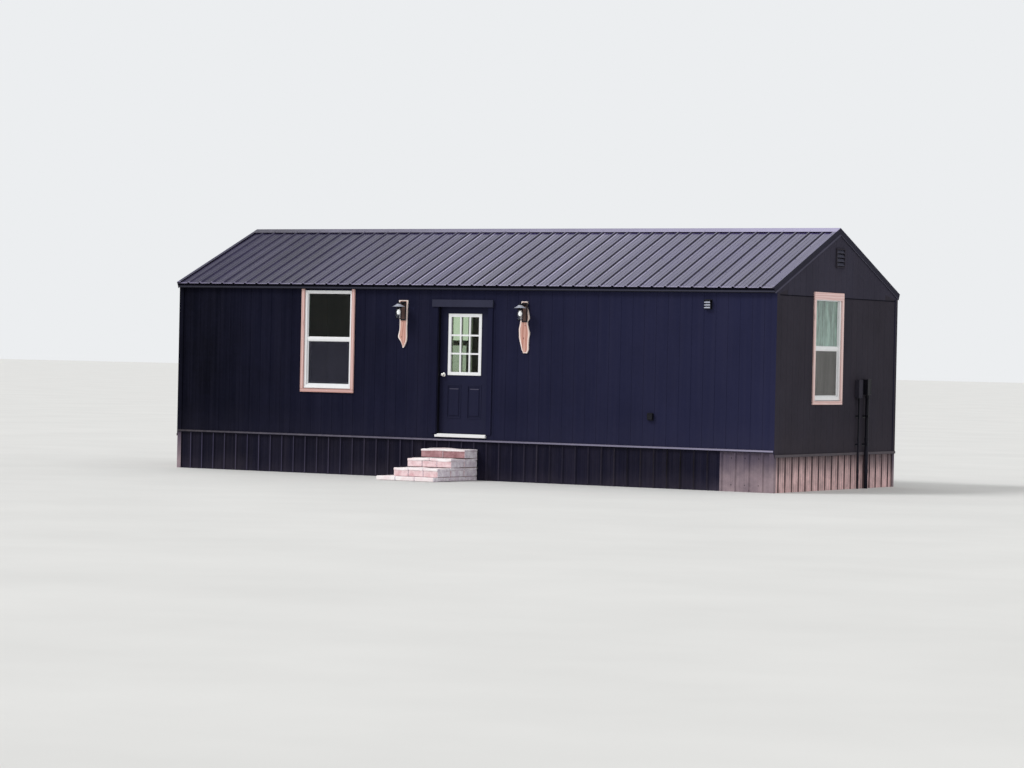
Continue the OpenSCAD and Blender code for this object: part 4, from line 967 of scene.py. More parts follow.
def makeWindowBoards():
    w = window
    half, thick, gap = w["width"] / 2, w["boardThick"], 0.0004
    y0, y1, out = frontFace - thick, frontFace, half + w["boardWide"]
    shelf = w["sill"] - w["boardGap"]
    foot, eaveTop = shelf - w["sillBoard"], house["eave"] - thick * math.tan(house["slope"]) - 0.0005
    endHead = w["sill"] + w["height"] - w["vinyl"]
    parts = [cedarBoard("boardSill", (-out, y0, foot), (out, y1, shelf), False, cedarAcross)]
    ends = [cedarBoard("endSill", (-out, y0, foot), (out, y1, shelf), False, endAcross)]
    for side in (-1, 1):
        x0, x1 = sorted((side * half, side * out))
        parts.append(cedarBoard("boardSide", (x0, y0, shelf + gap), (x1, y1, eaveTop), True, cedarUpright))
        ends.append(cedarBoard("endSide", (x0, y0, shelf + gap), (x1, y1, endHead - gap), True, endUpright))
    ends.append(cedarBoard("endHead", (-out, y0, endHead), (out, y1, endHead + w["headBoard"]), False, endAcross))
    longBoards = toAllWindows(joined("longWindowBoards", parts), "longWindowBoards", windowPlaces[:3])
    endBoards = toAllWindows(joined("endWindowBoards", ends), "endWindowBoards", windowPlaces[3:])
    for boards in (longBoards, endBoards):
        fitted(boards, instead=["window_boards"])


makeWindowFrames()
makeSashes()
makeScreens()
makePanes()
makeWindowBoards()
print("windows done")


# Door
door = dict(middle=0.020, width=0.910, thick=0.0445, bottom=0.718, insideFace=-2.0165, header=2.700,
            panels=((-0.2815, -0.0525), (0.0925, 0.3215)), panelLow=0.97, panelHigh=1.453, mould=0.016, mouldRise=0.005,
            mouldUp=0.034, fieldIn=0.026, fieldTop=(0.86, 1, 0.94), liteUp=0.918, liteWide=0.610, liteTall=0.965,
            plugIn=0.022, plugEnd=0.09, plugRadius=0.006, knobUp=0.920, knobIn=0.070, keyWide=0.003, keyTall=0.012,
            sweepFins=3, sweepHalf=0.452, sillRibs=4, sillHalf=0.440, ribStep=0.011)
outerFace = door["insideFace"] - door["thick"]


# Raised moulding round each pressed panel and the raised field within it; the field's upper bevels are paler with
# painted highlight
def makePanels():
    rise, mould, inner = door["mouldRise"], door["mould"], door["fieldIn"]
    low, high = door["panelLow"], door["panelHigh"]
    parts = []
    for left, right in door["panels"]:
        ring = frameRing("panelMould", (left - mould, outerFace - rise, low - mould),
                         (right + mould, outerFace + 0.001, high + door["mouldUp"]), mould, mould, 0.003)
        field = block("panelField", (left + inner, outerFace - rise, low + inner),
                      (right - inner, outerFace + 0.001, high - inner))
        pickFaces(field, lambda middle, normal: normal.y < -0.9)
        centre = ((left + right) / 2, outerFace, (low + high) / 2)
        bpy.ops.transform.resize(value=door["fieldTop"], center_override=centre)
        doneEditing()
        repaint(painted(field, doorPaint), hemPaint, lambda face: face.normal.z > 0.2)
        parts += [painted(ring, doorPaint), field]
    return parts


def makeDoor():
    slab = painted(easeEdges(nodeCopy("door_slab", "doorSlab"), 0.0015), doorPaint)
    fitted(joined("doorSlab", [slab] + makePanels()), None, "door", ["door_slab"])
    ring = easeEdges(nodeCopy("door_lite_frame", "doorLiteFrame"), 0.003)
    x, liteLow = door["middle"], door["bottom"] + door["liteUp"]
    plugs = []
    for y in (outerFace - 0.012, door["insideFace"] + 0.012):
        for side in (-1, 1):
            for k in range(4):
                place = (x + side * (door["liteWide"] / 2 - door["plugIn"]), y,
                         liteLow + door["plugEnd"] + k * (door["liteTall"] - 2 * door["plugEnd"]) / 3)
                plugs.append(disc("screwPlug", place, door["plugRadius"], 0.002, 16))
    lites = painted(joined("doorLiteFrame", [ring] + plugs), vinylFinish)
    fitted(lites, None, "door", ["door_lite_frame"])
    knob = painted(smoothed(nodeCopy("door_knobs", "doorKnobs", False), 40), nickel)
    keyX, keyZ = x - door["width"] / 2 + door["knobIn"], door["bottom"] + door["knobUp"]
    halfKey, tallKey = door["keyWide"] / 2, door["keyTall"] / 2
    keyway = board("keyway", (keyX - halfKey, outerFace - 0.0625, keyZ - tallKey),
                   (keyX + halfKey, outerFace - 0.0610, keyZ + tallKey), 0.0004)
    fitted(joined("doorKnobs", [knob, painted(keyway, blackPaint)]), None, "door", ["door_knobs"])
    sweep = []
    for k in range(door["sweepFins"]):
        y = door["insideFace"] - 0.012 - k * door["ribStep"]
        sweep.append(block("sweepFin", (x - door["sweepHalf"], y - 0.0015, door["bottom"] - 0.003),
                           (x + door["sweepHalf"], y + 0.0015, door["bottom"] + 0.002)))
    fitted(easeEdges(joined("doorSweep", sweep), 0.001, 1), blackPaint, "door")


def makeDoorTrim():
    casing = painted(easeEdges(nodeCopy("door_casing", "doorCasing"), 0.003), frontPaint)
    repaint(casing, trimPaint, lambda face: face.center.z > door["header"])
    fitted(casing, instead=["door_casing"])
    frame = painted(easeEdges(nodeCopy("door_frame", "doorFrame"), 0.0015), doorPaint)
    # painted shade: the left jamb's face, turned to +X, is black
    repaint(frame, blackPaint, lambda face: face.normal.x > 0.9 and face.center.x < door["middle"])
    fitted(frame, instead=["door_frame"])
    parts = [easeEdges(nodeCopy("door_sill", "doorSill"), 0.004, 3)]
    for k in range(door["sillRibs"]):
        near = 0.012 + k * door["ribStep"]
        parts.append(wallBoard("sillRib", door["middle"], door["sillHalf"], near, near + 0.005, 0.711, 0.7135, 0.001))
    fitted(joined("doorSill", parts), vinylFinish, instead=["door_sill"])


makeDoor()
makeDoorTrim()
print("door done")


# Trims, boards of the roof's edge and screws
trims = dict(lipOut=0.02, lipLow=0.029, lipHigh=0.004, endLow=0.045, cornerDust=0.070, gableFrom=2.0,
             boardFace=2.2025, stripTall=0.024, stripThick=0.0015)


def makeTrims():
    skirtTop = house["skirtTop"]
    lipLow, lipHigh = skirtTop - trims["lipLow"], skirtTop - trims["lipHigh"]
    # painted highlight on a band of the drip lip, painted shade above and below it
    flashings = painted(nodeCopy("wall_flashings", "wallFlashings"), flashingPaint)
    for height in (lipLow, lipHigh):
        pickFaces(flashings, lambda middle, normal: abs(normal.y) > 0.9 and abs(middle.y) > halfWidth + trims["lipOut"])
        bpy.ops.mesh.bisect(plane_co=(0, 0, height), plane_no=(0, 0, 1))
        doneEditing()

    def shadedLip(face):
        onLip = abs(face.normal.y) > 0.9 and abs(face.center.y) > halfWidth + trims["lipOut"]
        return face.center.z > trims["gableFrom"] or (onLip and not lipLow < face.center.z < lipHigh)

    repaint(flashings, endTrim, lambda face: face.center.z < skirtTop - trims["endLow"])
    repaint(flashings, edgePaint, shadedLip)
    fitted(flashings, instead=["wall_flashings"])
    corners = painted(easeEdges(nodeCopy("corner_trims", "cornerTrims"), 0.002), frontPaint)
    repaint(corners, endPaint, lambda face: abs(face.normal.x) > 0.7 and abs(face.center.x) > halfLength + 0.002)
    repaint(corners, dustySkirt, lambda face: face.center.z < skirtTop - trims["cornerDust"])
    fitted(corners, instead=["corner_trims"])
    louvres = painted(easeEdges(nodeCopy("gable_louvres", "gableLouvres"), 0.001), endPaint)
    # painted highlight on the slats' upward faces
    repaint(louvres, stripPaint, lambda face: 0.2 < face.normal.z < 0.95)
    fitted(louvres, instead=["gable_louvres"])
    # fascia boards: painted shade under the sheets' overhang
    boards = painted(easeEdges(nodeCopy("roof_edge_boards", "roofEdgeBoards"), 0.003), edgePaint)
    low = min(corner[2] for corner in boards.bound_box)
    strips = []
    # eave strip: painted highlight on the lower part of the fascia
    for side in (-1, 1):
        y0, y1 = sorted((side * (trims["boardFace"] - 0.0002), side * (trims["boardFace"] + trims["stripThick"])))
        strips.append(board("eaveStrip", (-halfLength + 0.002, y0, low),
                            (halfLength - 0.002, y1, low + trims["stripTall"]), 0.0005))
    fitted(joined("roofEdgeBoards", [boards, painted(joined("eaveStrips", strips), stripPaint)]),
           instead=["roof_edge_boards"])


# Rake trims with their top in the roof's colour, their face darker with painted shade, and a rim of painted highlight
# along the turned-out foot
def makeRakes():
    rakes = painted(nodeCopy("rake_trims", "rakeTrims"), rakePaint)
    rim = max(corner[0] for corner in rakes.bound_box) - 0.009
    repaint(rakes, roofPaint, lambda face: face.normal.z > 0.8 and abs(face.center.x) < rim)
    # painted highlight on the foot's rim
    repaint(rakes, hemPaint, lambda face: abs(face.center.x) > rim + 0.001)
    fitted(rakes, instead=["rake_trims"])


# Ribbed sheets: two small beads stiffen each pan between the tall ribs
beads = dict(wide=0.020, top=0.010, tall=0.0035, sunk=0.0005, sheet=0.0008, fromRidge=0.16, fromEave=0.004,
             dustyFrom=4.575, endTall=0.558, endPans=17)


# One bead lying along Y, its underside at z = 0
def bead(name, length):
    half = beads["wide"] / 2
    piece = block(name, (-half, -length / 2, -beads["sunk"]), (half, length / 2, beads["tall"]))
    pickFaces(piece, lambda middle, normal: normal.z > 0.9)
    bpy.ops.transform.resize(value=(beads["top"] / beads["wide"], 1, 1), center_override=(0, 0, 0))
    doneEditing()
    return piece


def beadRows(name, length, first, pans, turn, y, z):
    rows = []
    for part in (1, 2):
        piece = moved(bead(name, length), (first + part * house["ribPitch"] / 3, y, z), turn)
        rows.append(rowOf(piece, pans, (house["ribPitch"], 0, 0)))
    return joined(name, rows)


# Y and Z on the front slope, at a distance down from the ridge and a height square to the deck
def onRoof(down, up):
    return -down * cosine - up * sine, deckTop - down * sine + up * cosine


def makeRoofSheets():
    near, far = beads["fromRidge"], roofRun - beads["fromEave"]
    y, z = onRoof((near + far) / 2, beads["sheet"])
    front = beadRows("roofBeads", far - near, firstRib + house["roofShift"], 2 * house["ribs"],
                     (house["slope"], 0, 0), y, z)
    back = copied(front, "roofBeadsBack", (2 * house["roofShift"], 0, 0), 2 * quarter)
    sheets = painted(joined("roofSheets", [nodeCopy("roof_sheets", "roofSheets"), front, back]), roofPaint)
    # painted shade on the rib flanks
    repaint(sheets, roofFlank, lambda face: abs(face.normal.x) > 0.2)
    fitted(sheets, instead=["roof_sheets"])


def makeSkirts():
    sheet = frontFace + house["siding"] - beads["sheet"]
    crest = sheet - house["ribHeight"] + 0.002
    tall, upright, pans = house["skirtTop"] - 0.006, (quarter, 0, 0), 2 * house["ribs"]
    longBeads = beadRows("longBeads", tall, firstRib + house["skirtShift"], pans, upright, sheet, tall / 2 + 0.001)
    front = painted(joined("frontSkirt", [nodeCopy("front_skirt", "frontSkirt"), longBeads]), skirtPaint)
    # painted highlight on the rib crests
    repaint(front, crestPaint, lambda face: face.normal.y < -0.9 and face.center.y < crest)
    repaint(front, dustySkirt, lambda face: face.center.x > beads["dustyFrom"])
    fitted(front, instead=["front_skirt"])
    backBeads = beadRows("backBeads", tall, firstRib, pans, upright, sheet, tall / 2 + 0.001)
    turnedBeads = copied(backBeads, "backBeadsTurned", (0, 0, 0), 2 * quarter)
    discard(backBeads)
    back = joined("backSkirt", [nodeCopy("back_skirt", "backSkirt"), turnedBeads])
    fitted(back, skirtPaint, instead=["back_skirt"])
    tall, pans = beads["endTall"], beads["endPans"]
    endBeads = beadRows("endBeads", tall, -pans / 2 * house["ribPitch"], pans, upright, sheet, tall / 2 + 0.001)
    sides = toEnds(endBeads, "rightBeads", "leftBeads")
    ends = painted(joined("endSkirts", [nodeCopy("end_skirts", "endSkirts")] + sides), endSkirtPaint)
    repaint(ends, ribShade, lambda face: abs(face.normal.y) > 0.3)
    fitted(ends, instead=["end_skirts"])


# Hexagon-head screws with a washer
screws = dict(washer=0.008, washerTall=0.0015, head=0.005, headTall=0.004, rows=5, down=0.17, last=0.25,
              besideRib=0.045, sheetTop=0.002, capDown=0.115, rakeFirst=0.25, rakeStep=0.46, rakeIn=0.030, rakeRow=5,
              skirtLow=0.10, skirtStep=0.40, endStep=0.38, skirtBeside=0.06)


# A screw at its place, then repeated by each count and step
def screwField(name, place, turn, *repeats):
    tall, head = screws["washerTall"], screws["headTall"]
    washer = disc(name, (0, 0, tall / 2), screws["washer"], tall, 10, (0, 0, 0))
    top = disc("screwHead", (0, 0, tall + head / 2), screws["head"], head, 6, (0, 0, 0))
    screw = moved(joined(name, [washer, top]), place, turn)
    for count, step in repeats:
        rowOf(screw, count, step)
    return screw


def makeRoofScrews():
    slope, pitch, shift = house["slope"], house["ribPitch"], house["roofShift"]
    rowStep = (roofRun - screws["last"]) / (screws["rows"] - 1)
    y, z = onRoof(screws["down"], screws["sheetTop"])
    along, down = (pitch, 0, 0), (0, -rowStep * cosine, -rowStep * sine)
    front = screwField("roofScrewsFront", (firstRib + shift + screws["besideRib"], y, z), (slope, 0, 0),
                       (2 * house["ribs"] + 1, along), (screws["rows"], down))
    back = copied(front, "roofScrewsBack", (2 * (shift + screws["besideRib"]), 0, 0), 2 * quarter)
    for piece in (front, back):
        fitted(piece, roofPaint)


# Screws of the ridge cap, one at every second rib, and of the rake trims
def makeCapScrews():
    slope, pitch, shift = house["slope"], house["ribPitch"], house["roofShift"]
    capTop, rakeTop = [max(corner[2] for corner in nodes[name].bound_box) for name in ("ridge_cap", "rake_trims")]
    y = -screws["capDown"]
    place = (firstRib + pitch + shift, y, capTop + y * math.tan(slope) + 0.001)
    cap = screwField("capScrews", place, (slope, 0, 0), (house["ribs"], (2 * pitch, 0, 0)))
    capBack = copied(cap, "capScrewsBack", (2 * shift, 0, 0), 2 * quarter)
    # the cap's screws share its painted highlight
    fitted(joined("capScrews", [cap, capBack]), capPaint)
    y, end, step = -screws["rakeFirst"], halfLength - screws["rakeIn"], screws["rakeStep"]
    edge = screwField("rakeScrews", (-end, y, rakeTop + y * math.tan(slope)), (slope, 0, 0),
                      (screws["rakeRow"], (0, -step * cosine, -step * sine)))
    front = joined("rakeScrews", [edge, copied(edge, "rakeScrewsFar", (2 * end, 0, 0))])
    back = copied(front, "rakeScrewsBack", (0, 0, 0), 2 * quarter)
    fitted(joined("rakeScrews", [front, back]), roofPaint)


def makeSkirtScrews():
    pitch, y, low = house["ribPitch"], frontFace + house["siding"] - 0.002, screws["skirtLow"]
    place = (firstRib + house["skirtShift"] - screws["skirtBeside"], y, low)
    front = screwField("skirtScrewsFront", place, (quarter, 0, 0),
                       (2 * house["ribs"] + 1, (pitch, 0, 0)), (2, (0, 0, screws["skirtStep"])))
    back = copied(front, "skirtScrewsBack", (0, 0, 0), 2 * quarter)
    side = screwField("skirtScrewsEnds", (-8 * pitch + screws["skirtBeside"], y, low), (quarter, 0, 0),
                      (beads["endPans"], (pitch, 0, 0)), (2, (0, 0, screws["endStep"])))
    right, left = toEnds(side, "skirtScrewsRight", "skirtScrewsLeft")
    for piece, material in ((front, skirtPaint), (back, skirtPaint), (right, endSkirtPaint), (left, endSkirtPaint)):
        fitted(piece, material)


makeTrims()
makeRakes()
makeRoofSheets()
makeSkirts()
makeRoofScrews()
makeCapScrews()
makeSkirtScrews()
print("trims and screws done")


# Live-edge boards: each front is cut into a red heart within its pale sapwood, with a few knots
lights = dict(places=((-1.080, 0.756), (1.158, 0.801)), top=2.803, slab=0.025, out=0.145, armDown=0.046,
              plateDown=0.019, plateTall=0.302, plateHalf=0.050, plateThick=0.014, hoodTall=0.062, collarDown=0.031,
              jarTall=0.152)
heart = dict(wide=0.76, tall=0.97, area=0.02, worn=0.005, knotThick=0.0018, knotTall=1.35,
             knots=((-1.106, 2.222, 0.011), (-1.092, 2.470, 0.009), (1.142, 2.232, 0.013), (1.165, 2.430, 0.010)))
slabFace = frontFace - lights["slab"]
jarY = slabFace - lights["out"]
armZ = lights["top"] - lights["armDown"]
rimZ = armZ - lights["hoodTall"]
jarZ = rimZ - lights["collarDown"] - lights["jarTall"]


def makeLightBoards():
    slabs = painted(nodeCopy("light_boards", "lightBoards"), slabWood)
    for x, tall in lights["places"]:
        pickFaces(slabs, lambda middle, normal: normal.y < -0.9 and middle.x * x > 0)
        bpy.ops.mesh.inset(thickness=0.001)
        bpy.ops.transform.resize(value=(heart["wide"], 1, heart["tall"]),
                                 center_override=(x, slabFace, lights["top"] - tall / 2))
        doneEditing()
    easeEdges(slabs, heart["worn"], 3, 50)
    repaint(slabs, sapWood, lambda face: face.area < heart["area"])
    knots = []
    for x, z, size in heart["knots"]:
        clearSelection()
        bpy.ops.mesh.primitive_uv_sphere_add(segments=16, ring_count=8, radius=1, location=(x, slabFace + 0.001, z),
                                             scale=(size, heart["knotThick"], size * heart["knotTall"]))
        knots.append(painted(smoothed(placed(bpy.context.object, "knot"), 60), knotWood))
    fitted(joined("lightBoards", [slabs] + knots), instead=["light_boards"])


# Lantern parts turned on its axis: base height, (radius, height) profile and steps
jarTall = lights["jarTall"]
turnings = dict(
    hood=(rimZ, ((0.0005, 0.062), (0.022, 0.061), (0.026, 0.055), (0.031, 0.046), (0.046, 0.032), (0.070, 0.018),
                 (0.094, 0.006), (0.100, 0.003), (0.100, 0.0), (0.095, 0.0), (0.068, 0.013), (0.040, 0.024),
                 (0.0005, 0.030)), 36),
    collar=(rimZ, ((0.034, 0.026), (0.036, 0.020), (0.036, -0.004), (0.039, -0.006), (0.039, -0.012), (0.036, -0.014),
                   (0.036, -0.030), (0.030, -0.031), (0.030, 0.026), (0.034, 0.026)), 28),
    finial=(rimZ + 0.060, ((0.0005, 0.0), (0.013, 0.001), (0.014, 0.006), (0.008, 0.012), (0.006, 0.018),
                           (0.009, 0.024), (0.0005, 0.030)), 20),
    lowRing=(jarZ, ((0.0005, -0.006), (0.040, -0.006), (0.045, -0.003), (0.045, 0.002), (0.0005, 0.002)), 28),
    jar=(jarZ, ((0.0005, 0.0005), (0.030, 0.0005), (0.038, 0.004), (0.042, 0.012), (0.042, jarTall - 0.026),
                (0.039, jarTall - 0.012), (0.035, jarTall - 0.001), (0.032, jarTall - 0.001),
                (0.036, jarTall - 0.013), (0.039, jarTall - 0.027), (0.039, 0.013), (0.035, 0.006),
                (0.0005, 0.0035)), 32),
    bulb=(jarZ, ((0.0005, 0.062), (0.014, 0.064), (0.024, 0.076), (0.029, 0.094), (0.027, 0.110), (0.018, 0.126),
                 (0.014, 0.140), (0.0005, 0.141)), 20))


def turnedPart(name, material):
    height, profile, steps = turnings[name]
    return painted(turned(name, (0, jarY, height), profile, steps), material)


def makeLantern():
    half, near = lights["plateHalf"], slabFace - lights["plateThick"]
    plateTop = lights["top"] - lights["plateDown"]
    plateLow = plateTop - lights["plateTall"]
    rim = frameRing("plateRim", (-half, near, plateLow), (half, slabFace, plateTop), 0.016, 0.022, 0.004)
    panel = board("platePanel", (-half + 0.012, near + 0.005, plateLow + 0.018),
                  (half - 0.012, slabFace, plateTop - 0.018), 0.003)
    boss = board("armBoss", (-0.020, slabFace - 0.026, armZ - 0.024), (0.020, slabFace - 0.008, armZ + 0.012), 0.005)
    # painted highlight on the hood brim's upper face
    hood = repaint(turnedPart("hood", blackPaint), hoodMetal,
                   lambda face: face.normal.z > 0.05 and face.center.z < rimZ + 0.045)
    others = [turnedPart(name, blackPaint) for name in ("collar", "finial", "lowRing")]
    armIn = slabFace - 0.02
    metal = [bentBar("arm", [((0, armIn, armZ - 0.010), (0, armIn - 0.03, armZ - 0.010)),
                             ((0, jarY, armZ - 0.004), (0, jarY + 0.03, armZ + 0.016))], 0.008, 3, 10)]
    for k in range(4):
        turn = quarter * k + quarter / 2
        spot = lambda radius, z: (math.cos(turn) * radius, jarY + math.sin(turn) * radius, z)
        ends = [(spot(0.038, rimZ - 0.020), spot(0.056, rimZ - 0.065)), (spot(0.043, jarZ), spot(0.056, jarZ + 0.045))]
        metal.append(bentBar("cageWire", ends, 0.0022, 2, 8))
    for part in [rim, boss] + metal:
        painted(part, blackPaint)
    return joined("lantern", [rim, painted(panel, bronzePlate), boss, hood] + others + metal)


def makeLights():
    jar = joined("jar", [turnedPart("jar", jarGlass), turnedPart("bulb", bulbFrost)])
    for piece, name, slotName, nodeName in ((makeLantern(), "wallLanterns", "black_metal", "lanterns"),
                                            (jar, "lanternJars", "window_pane", "lantern_glass")):
        both = [copied(piece, name, (x, 0, 0)) for x, _ in lights["places"]]
        discard(piece)
        fitted(joined(name, both), instead=[nodeName])


makeLightBoards()
makeLights()
print("lights done")


# Extractor's hood with three blades, and the covered socket, by their middles on the front wall
extractor = dict(x=4.3485, z=2.790, half=0.062, tall=0.074, rimHalf=0.055, rimTall=0.068, rimOut=0.052, rimSide=0.007,
                 blades=3, firstBlade=0.054, bladeStep=0.040, bladeHalf=0.049, bladeThick=0.004, bladeRise=0.026)
socket = dict(x=3.4045, z=1.077, half=0.044, down=0.055, up=0.053, boxOut=0.030, lidOut=0.054, lidHalf=0.048,
              lidTop=(0.90, 1, 0.88), panelIn=0.010, panelDeep=0.002, hingeRadius=0.006)


def makeExtractor():
    e = extractor
    x, z = e["x"], e["z"]
    dark = [wallBoard("capFlange", x, e["half"], -0.006, 0, z - e["tall"], z + e["tall"], 0.002),
            wallRing("capRim", x, e["rimHalf"], -e["rimOut"], -0.004, z - e["rimTall"], z + e["rimTall"], e["rimSide"]),
            wallBoard("capBack", x, e["rimHalf"] - 0.005, -0.010, -0.006, z - 0.064, z + 0.064, 0)]
    parts = [painted(part, blackPaint) for part in dark]
    for k in range(e["blades"]):
        foot = z - e["firstBlade"] + k * e["bladeStep"]
        blade = wallBoard("capBlade", x, e["bladeHalf"], -0.050, -0.012, foot, foot + e["bladeThick"], 0)
        pickFaces(blade, lambda middle, normal: normal.y > 0.9)
        bpy.ops.transform.translate(value=(0, 0, e["bladeRise"]))
        doneEditing()
        lip = wallBoard("bladeLip", x, e["bladeHalf"], -0.054, -0.050, foot - 0.004, foot + 0.010, 0.001)
        # painted highlight on the blades
        parts += [painted(easeEdges(blade, 0.001, 1), hoodMetal), painted(lip, hoodMetal)]
    return joined("extractorCap", parts)


def makeSocketCover():
    s = socket
    x, z, out = s["x"], s["z"], s["lidOut"]
    box = wallBoard("socketBox", x, s["half"], -s["boxOut"], 0, z - s["down"], z + s["up"], 0.005)
    lid = wallBoard("socketLid", x, s["lidHalf"], -out, -s["boxOut"], z - 0.046, z + 0.050, 0)
    pickFaces(lid, lambda middle, normal: normal.y < -0.9)
    bpy.ops.transform.resize(value=s["lidTop"], center_override=(x, frontFace - out, z + 0.002))
    bpy.ops.mesh.inset(thickness=s["panelIn"])
    bpy.ops.mesh.extrude_region_move(TRANSFORM_OT_translate={"value": (0, s["panelDeep"], 0)})
    doneEditing()
    easeEdges(lid, 0.003)
    radius, half = s["hingeRadius"], s["half"]
    pin = turned("lidHinge", (0, 0, 0), [(0.0005, -half), (radius, -half), (radius, half), (0.0005, half)], 12)
    return joined("socketCover", [box, lid, moved(pin, (x, frontFace - 0.034, z + 0.053), (0, quarter, 0))])


# Service boxes on the right end: low corner in Y and Z, then width, height and depth
serviceBoxes = dict(paleBox=(0.635, 1.412, 0.140, 0.280, 0.076, boxGrey),
                    blackBox=(0.907, 1.458, 0.130, 0.250, 0.096, blackPaint))
boxLid = dict(deep=0.022, rim=0.014, sunk=0.003, within=0.004, latchHalf=0.012, latchTall=0.026,
              pin=0.006, pinTall=0.012)


def serviceBox(name):
    y, z, wide, tall, out, finish = serviceBoxes[name]
    front, within = halfLength + out, boxLid["within"]
    middle = y + wide / 2
    body = block(name + "Body", (halfLength, y + within, z + within),
                 (front - 0.020, y + wide - within, z + tall - 0.006))
    easeEdges(body, 0.006, 3)
    lid = block(name + "Lid", (front - boxLid["deep"], y, z), (front, y + wide, z + tall))
    pickFaces(lid, lambda place, normal: normal.x > 0.9)
    bpy.ops.mesh.inset(thickness=boxLid["rim"])
    bpy.ops.mesh.extrude_region_move(TRANSFORM_OT_translate={"value": (-boxLid["sunk"], 0, 0)})
    doneEditing()
    easeEdges(lid, 0.004, 3)
    half, low, radius = boxLid["latchHalf"], z + 0.004, boxLid["pin"]
    latch = board(name + "Latch", (front - 0.008, middle - half, low),
                  (front - 0.0005, middle + half, low + boxLid["latchTall"]), 0.003)
    profile = [(0.0005, 0.0), (radius, 0.0), (radius, boxLid["pinTall"]), (0.0005, boxLid["pinTall"])]
    hasp = turned(name + "Hasp", (front - 0.008, middle, z - 0.004), profile, 12)
    return painted(joined(name, [body, lid, latch, hasp]), finish)


# Each conduit: radius, Y and the tops of its couplings
conduits = dict(runs=((0.014, 0.705, (1.412, 0.80, 0.30)), (0.030, 0.972, (1.458, 0.80, 0.30))), off=0.030,
                sleeve=0.004, topTall=0.05, tall=0.06, straps=(1.10, 0.66), strapTall=0.022, strapPast=0.022,
                strapThick=0.004, bow=0.0025)


def makeConduits():
    c = conduits
    parts = [smoothed(nodeCopy("conduits", "conduitPipes", False))]
    for radius, y, tops in c["runs"]:
        wide, reach, bow = radius + c["sleeve"], radius + c["strapPast"], radius + 0.003
        for z in tops:
            tall = c["topTall"] if z == tops[0] else c["tall"]
            profile = [(radius, 0.0), (wide, 0.002), (wide, tall - 0.002), (radius, tall)]
            parts.append(turned("coupling", (halfLength + c["off"] + radius, y, z - tall), profile, 24))
        for z in c["straps"]:
            parts.append(board("strap", (halfLength, y - reach, z),
                               (halfLength + c["strapThick"], y + reach, z + c["strapTall"]), 0.001))
            ring = frameRing("strapBow", (-bow, -0.001, 0), (bow, 0.021, 0.034 + 2 * radius),
                             c["bow"], c["bow"], 0.0008)
            parts.append(moved(ring, (halfLength, y, z + 0.021), (quarter, 0, quarter)))
    fitted(joined("conduitRun", parts), blackPaint, instead=["conduits"])


def makeFittings():
    parts = [makeExtractor(), painted(makeSocketCover(), blackPaint)] + [serviceBox(name) for name in serviceBoxes]
    fitted(joined("wallFittings", parts), instead=["wall_fittings"])


makeFittings()
makeConduits()
print("fittings done")


# Steps of cast pavers: each tier has whole caps on a course of smaller blocks
steps = dict(middle=-0.065, back=-2.1385, wide=0.813, tread=0.388, rise=0.140, base=0.068, past=0.240,
             columns=3, rows=4, capTall=0.045, topCapTall=0.032, capGap=0.001, courseGap=0.003, courseIn=0.010,
             slabGap=0.002)
roughness = dict(blocks=0.06, slabs=0.34, cuts=2, rounds=3, worn=0.014, topWorn=0.010, courseWorn=0.008, rough=0.006,
                 courseRough=0.008, uneven=0.032)


def newNoise(name, scale, depth):
    noise = bpy.data.textures.new(name, "CLOUDS")
    noise.noise_scale = scale
    noise.noise_depth = depth
    return noise


paverNoise = newNoise("paverNoise", roughness["blocks"], 3)
slabNoise = newNoise("slabNoise", roughness["slabs"], 2)


# One cast block: cut fine enough to roughen, edges worn round; faces turned to +X get a paler finish as painted light
def paver(name, low, high, material, worn=roughness["worn"], rough=roughness["rough"], uneven=0.0):
    piece = block(name, low, high)
    pickFaces(piece)
    bpy.ops.mesh.subdivide(number_cuts=roughness["cuts"])
    doneEditing()
    easeEdges(piece, worn, roughness["rounds"], 60)
    withModifier(piece, "SUBSURF", levels=2, render_levels=2, subdivision_type="SIMPLE")
    withModifier(piece, "DISPLACE", texture=paverNoise, texture_coords="LOCAL", strength=rough, mid_level=0.75)
    if uneven:
        withModifier(piece, "DISPLACE", texture=slabNoise, texture_coords="LOCAL", direction="Z",
                     strength=uneven, mid_level=0.62)
    painted(smoothed(piece, 50), material)
    repaint(piece, paverTop, lambda face: face.normal.z > 0.6)
    return repaint(piece, paverSide, lambda face: face.normal.x > 0.6)


def makeStepTier(name, nodeName, tier, caps, blocks, finish, capTall, worn=roughness["worn"]):
    s = steps
    low, depth = s["base"] + tier * s["rise"], 3 - tier
    x0, high = s["middle"] - s["wide"] / 2, low + s["rise"]
    gap, past, capLow = s["capGap"], s["courseGap"], high - capTall
    parts = []
    for row in range(depth):
        y0 = s["back"] - (depth - row) * s["tread"]
        y1 = y0 + s["tread"]
        for count, isCap in ((caps, True), (blocks, False)):
            wide = s["wide"] / count
            for k in range(count):
                a, b = x0 + k * wide, x0 + (k + 1) * wide
                if isCap:
                    parts.append(paver("cap", (a + gap, y0 + gap, capLow), (b - gap, y1 - gap, high - gap),
                                       paverTop, worn, uneven=roughness["uneven"]))
                else:
                    parts.append(paver("course", (a + past, y0 + s["courseIn"], low + gap),
                                       (b - past, y1 - 0.004, capLow), finish,
                                       roughness["courseWorn"], roughness["courseRough"]))
    fitted(joined(name, parts), instead=[nodeName])


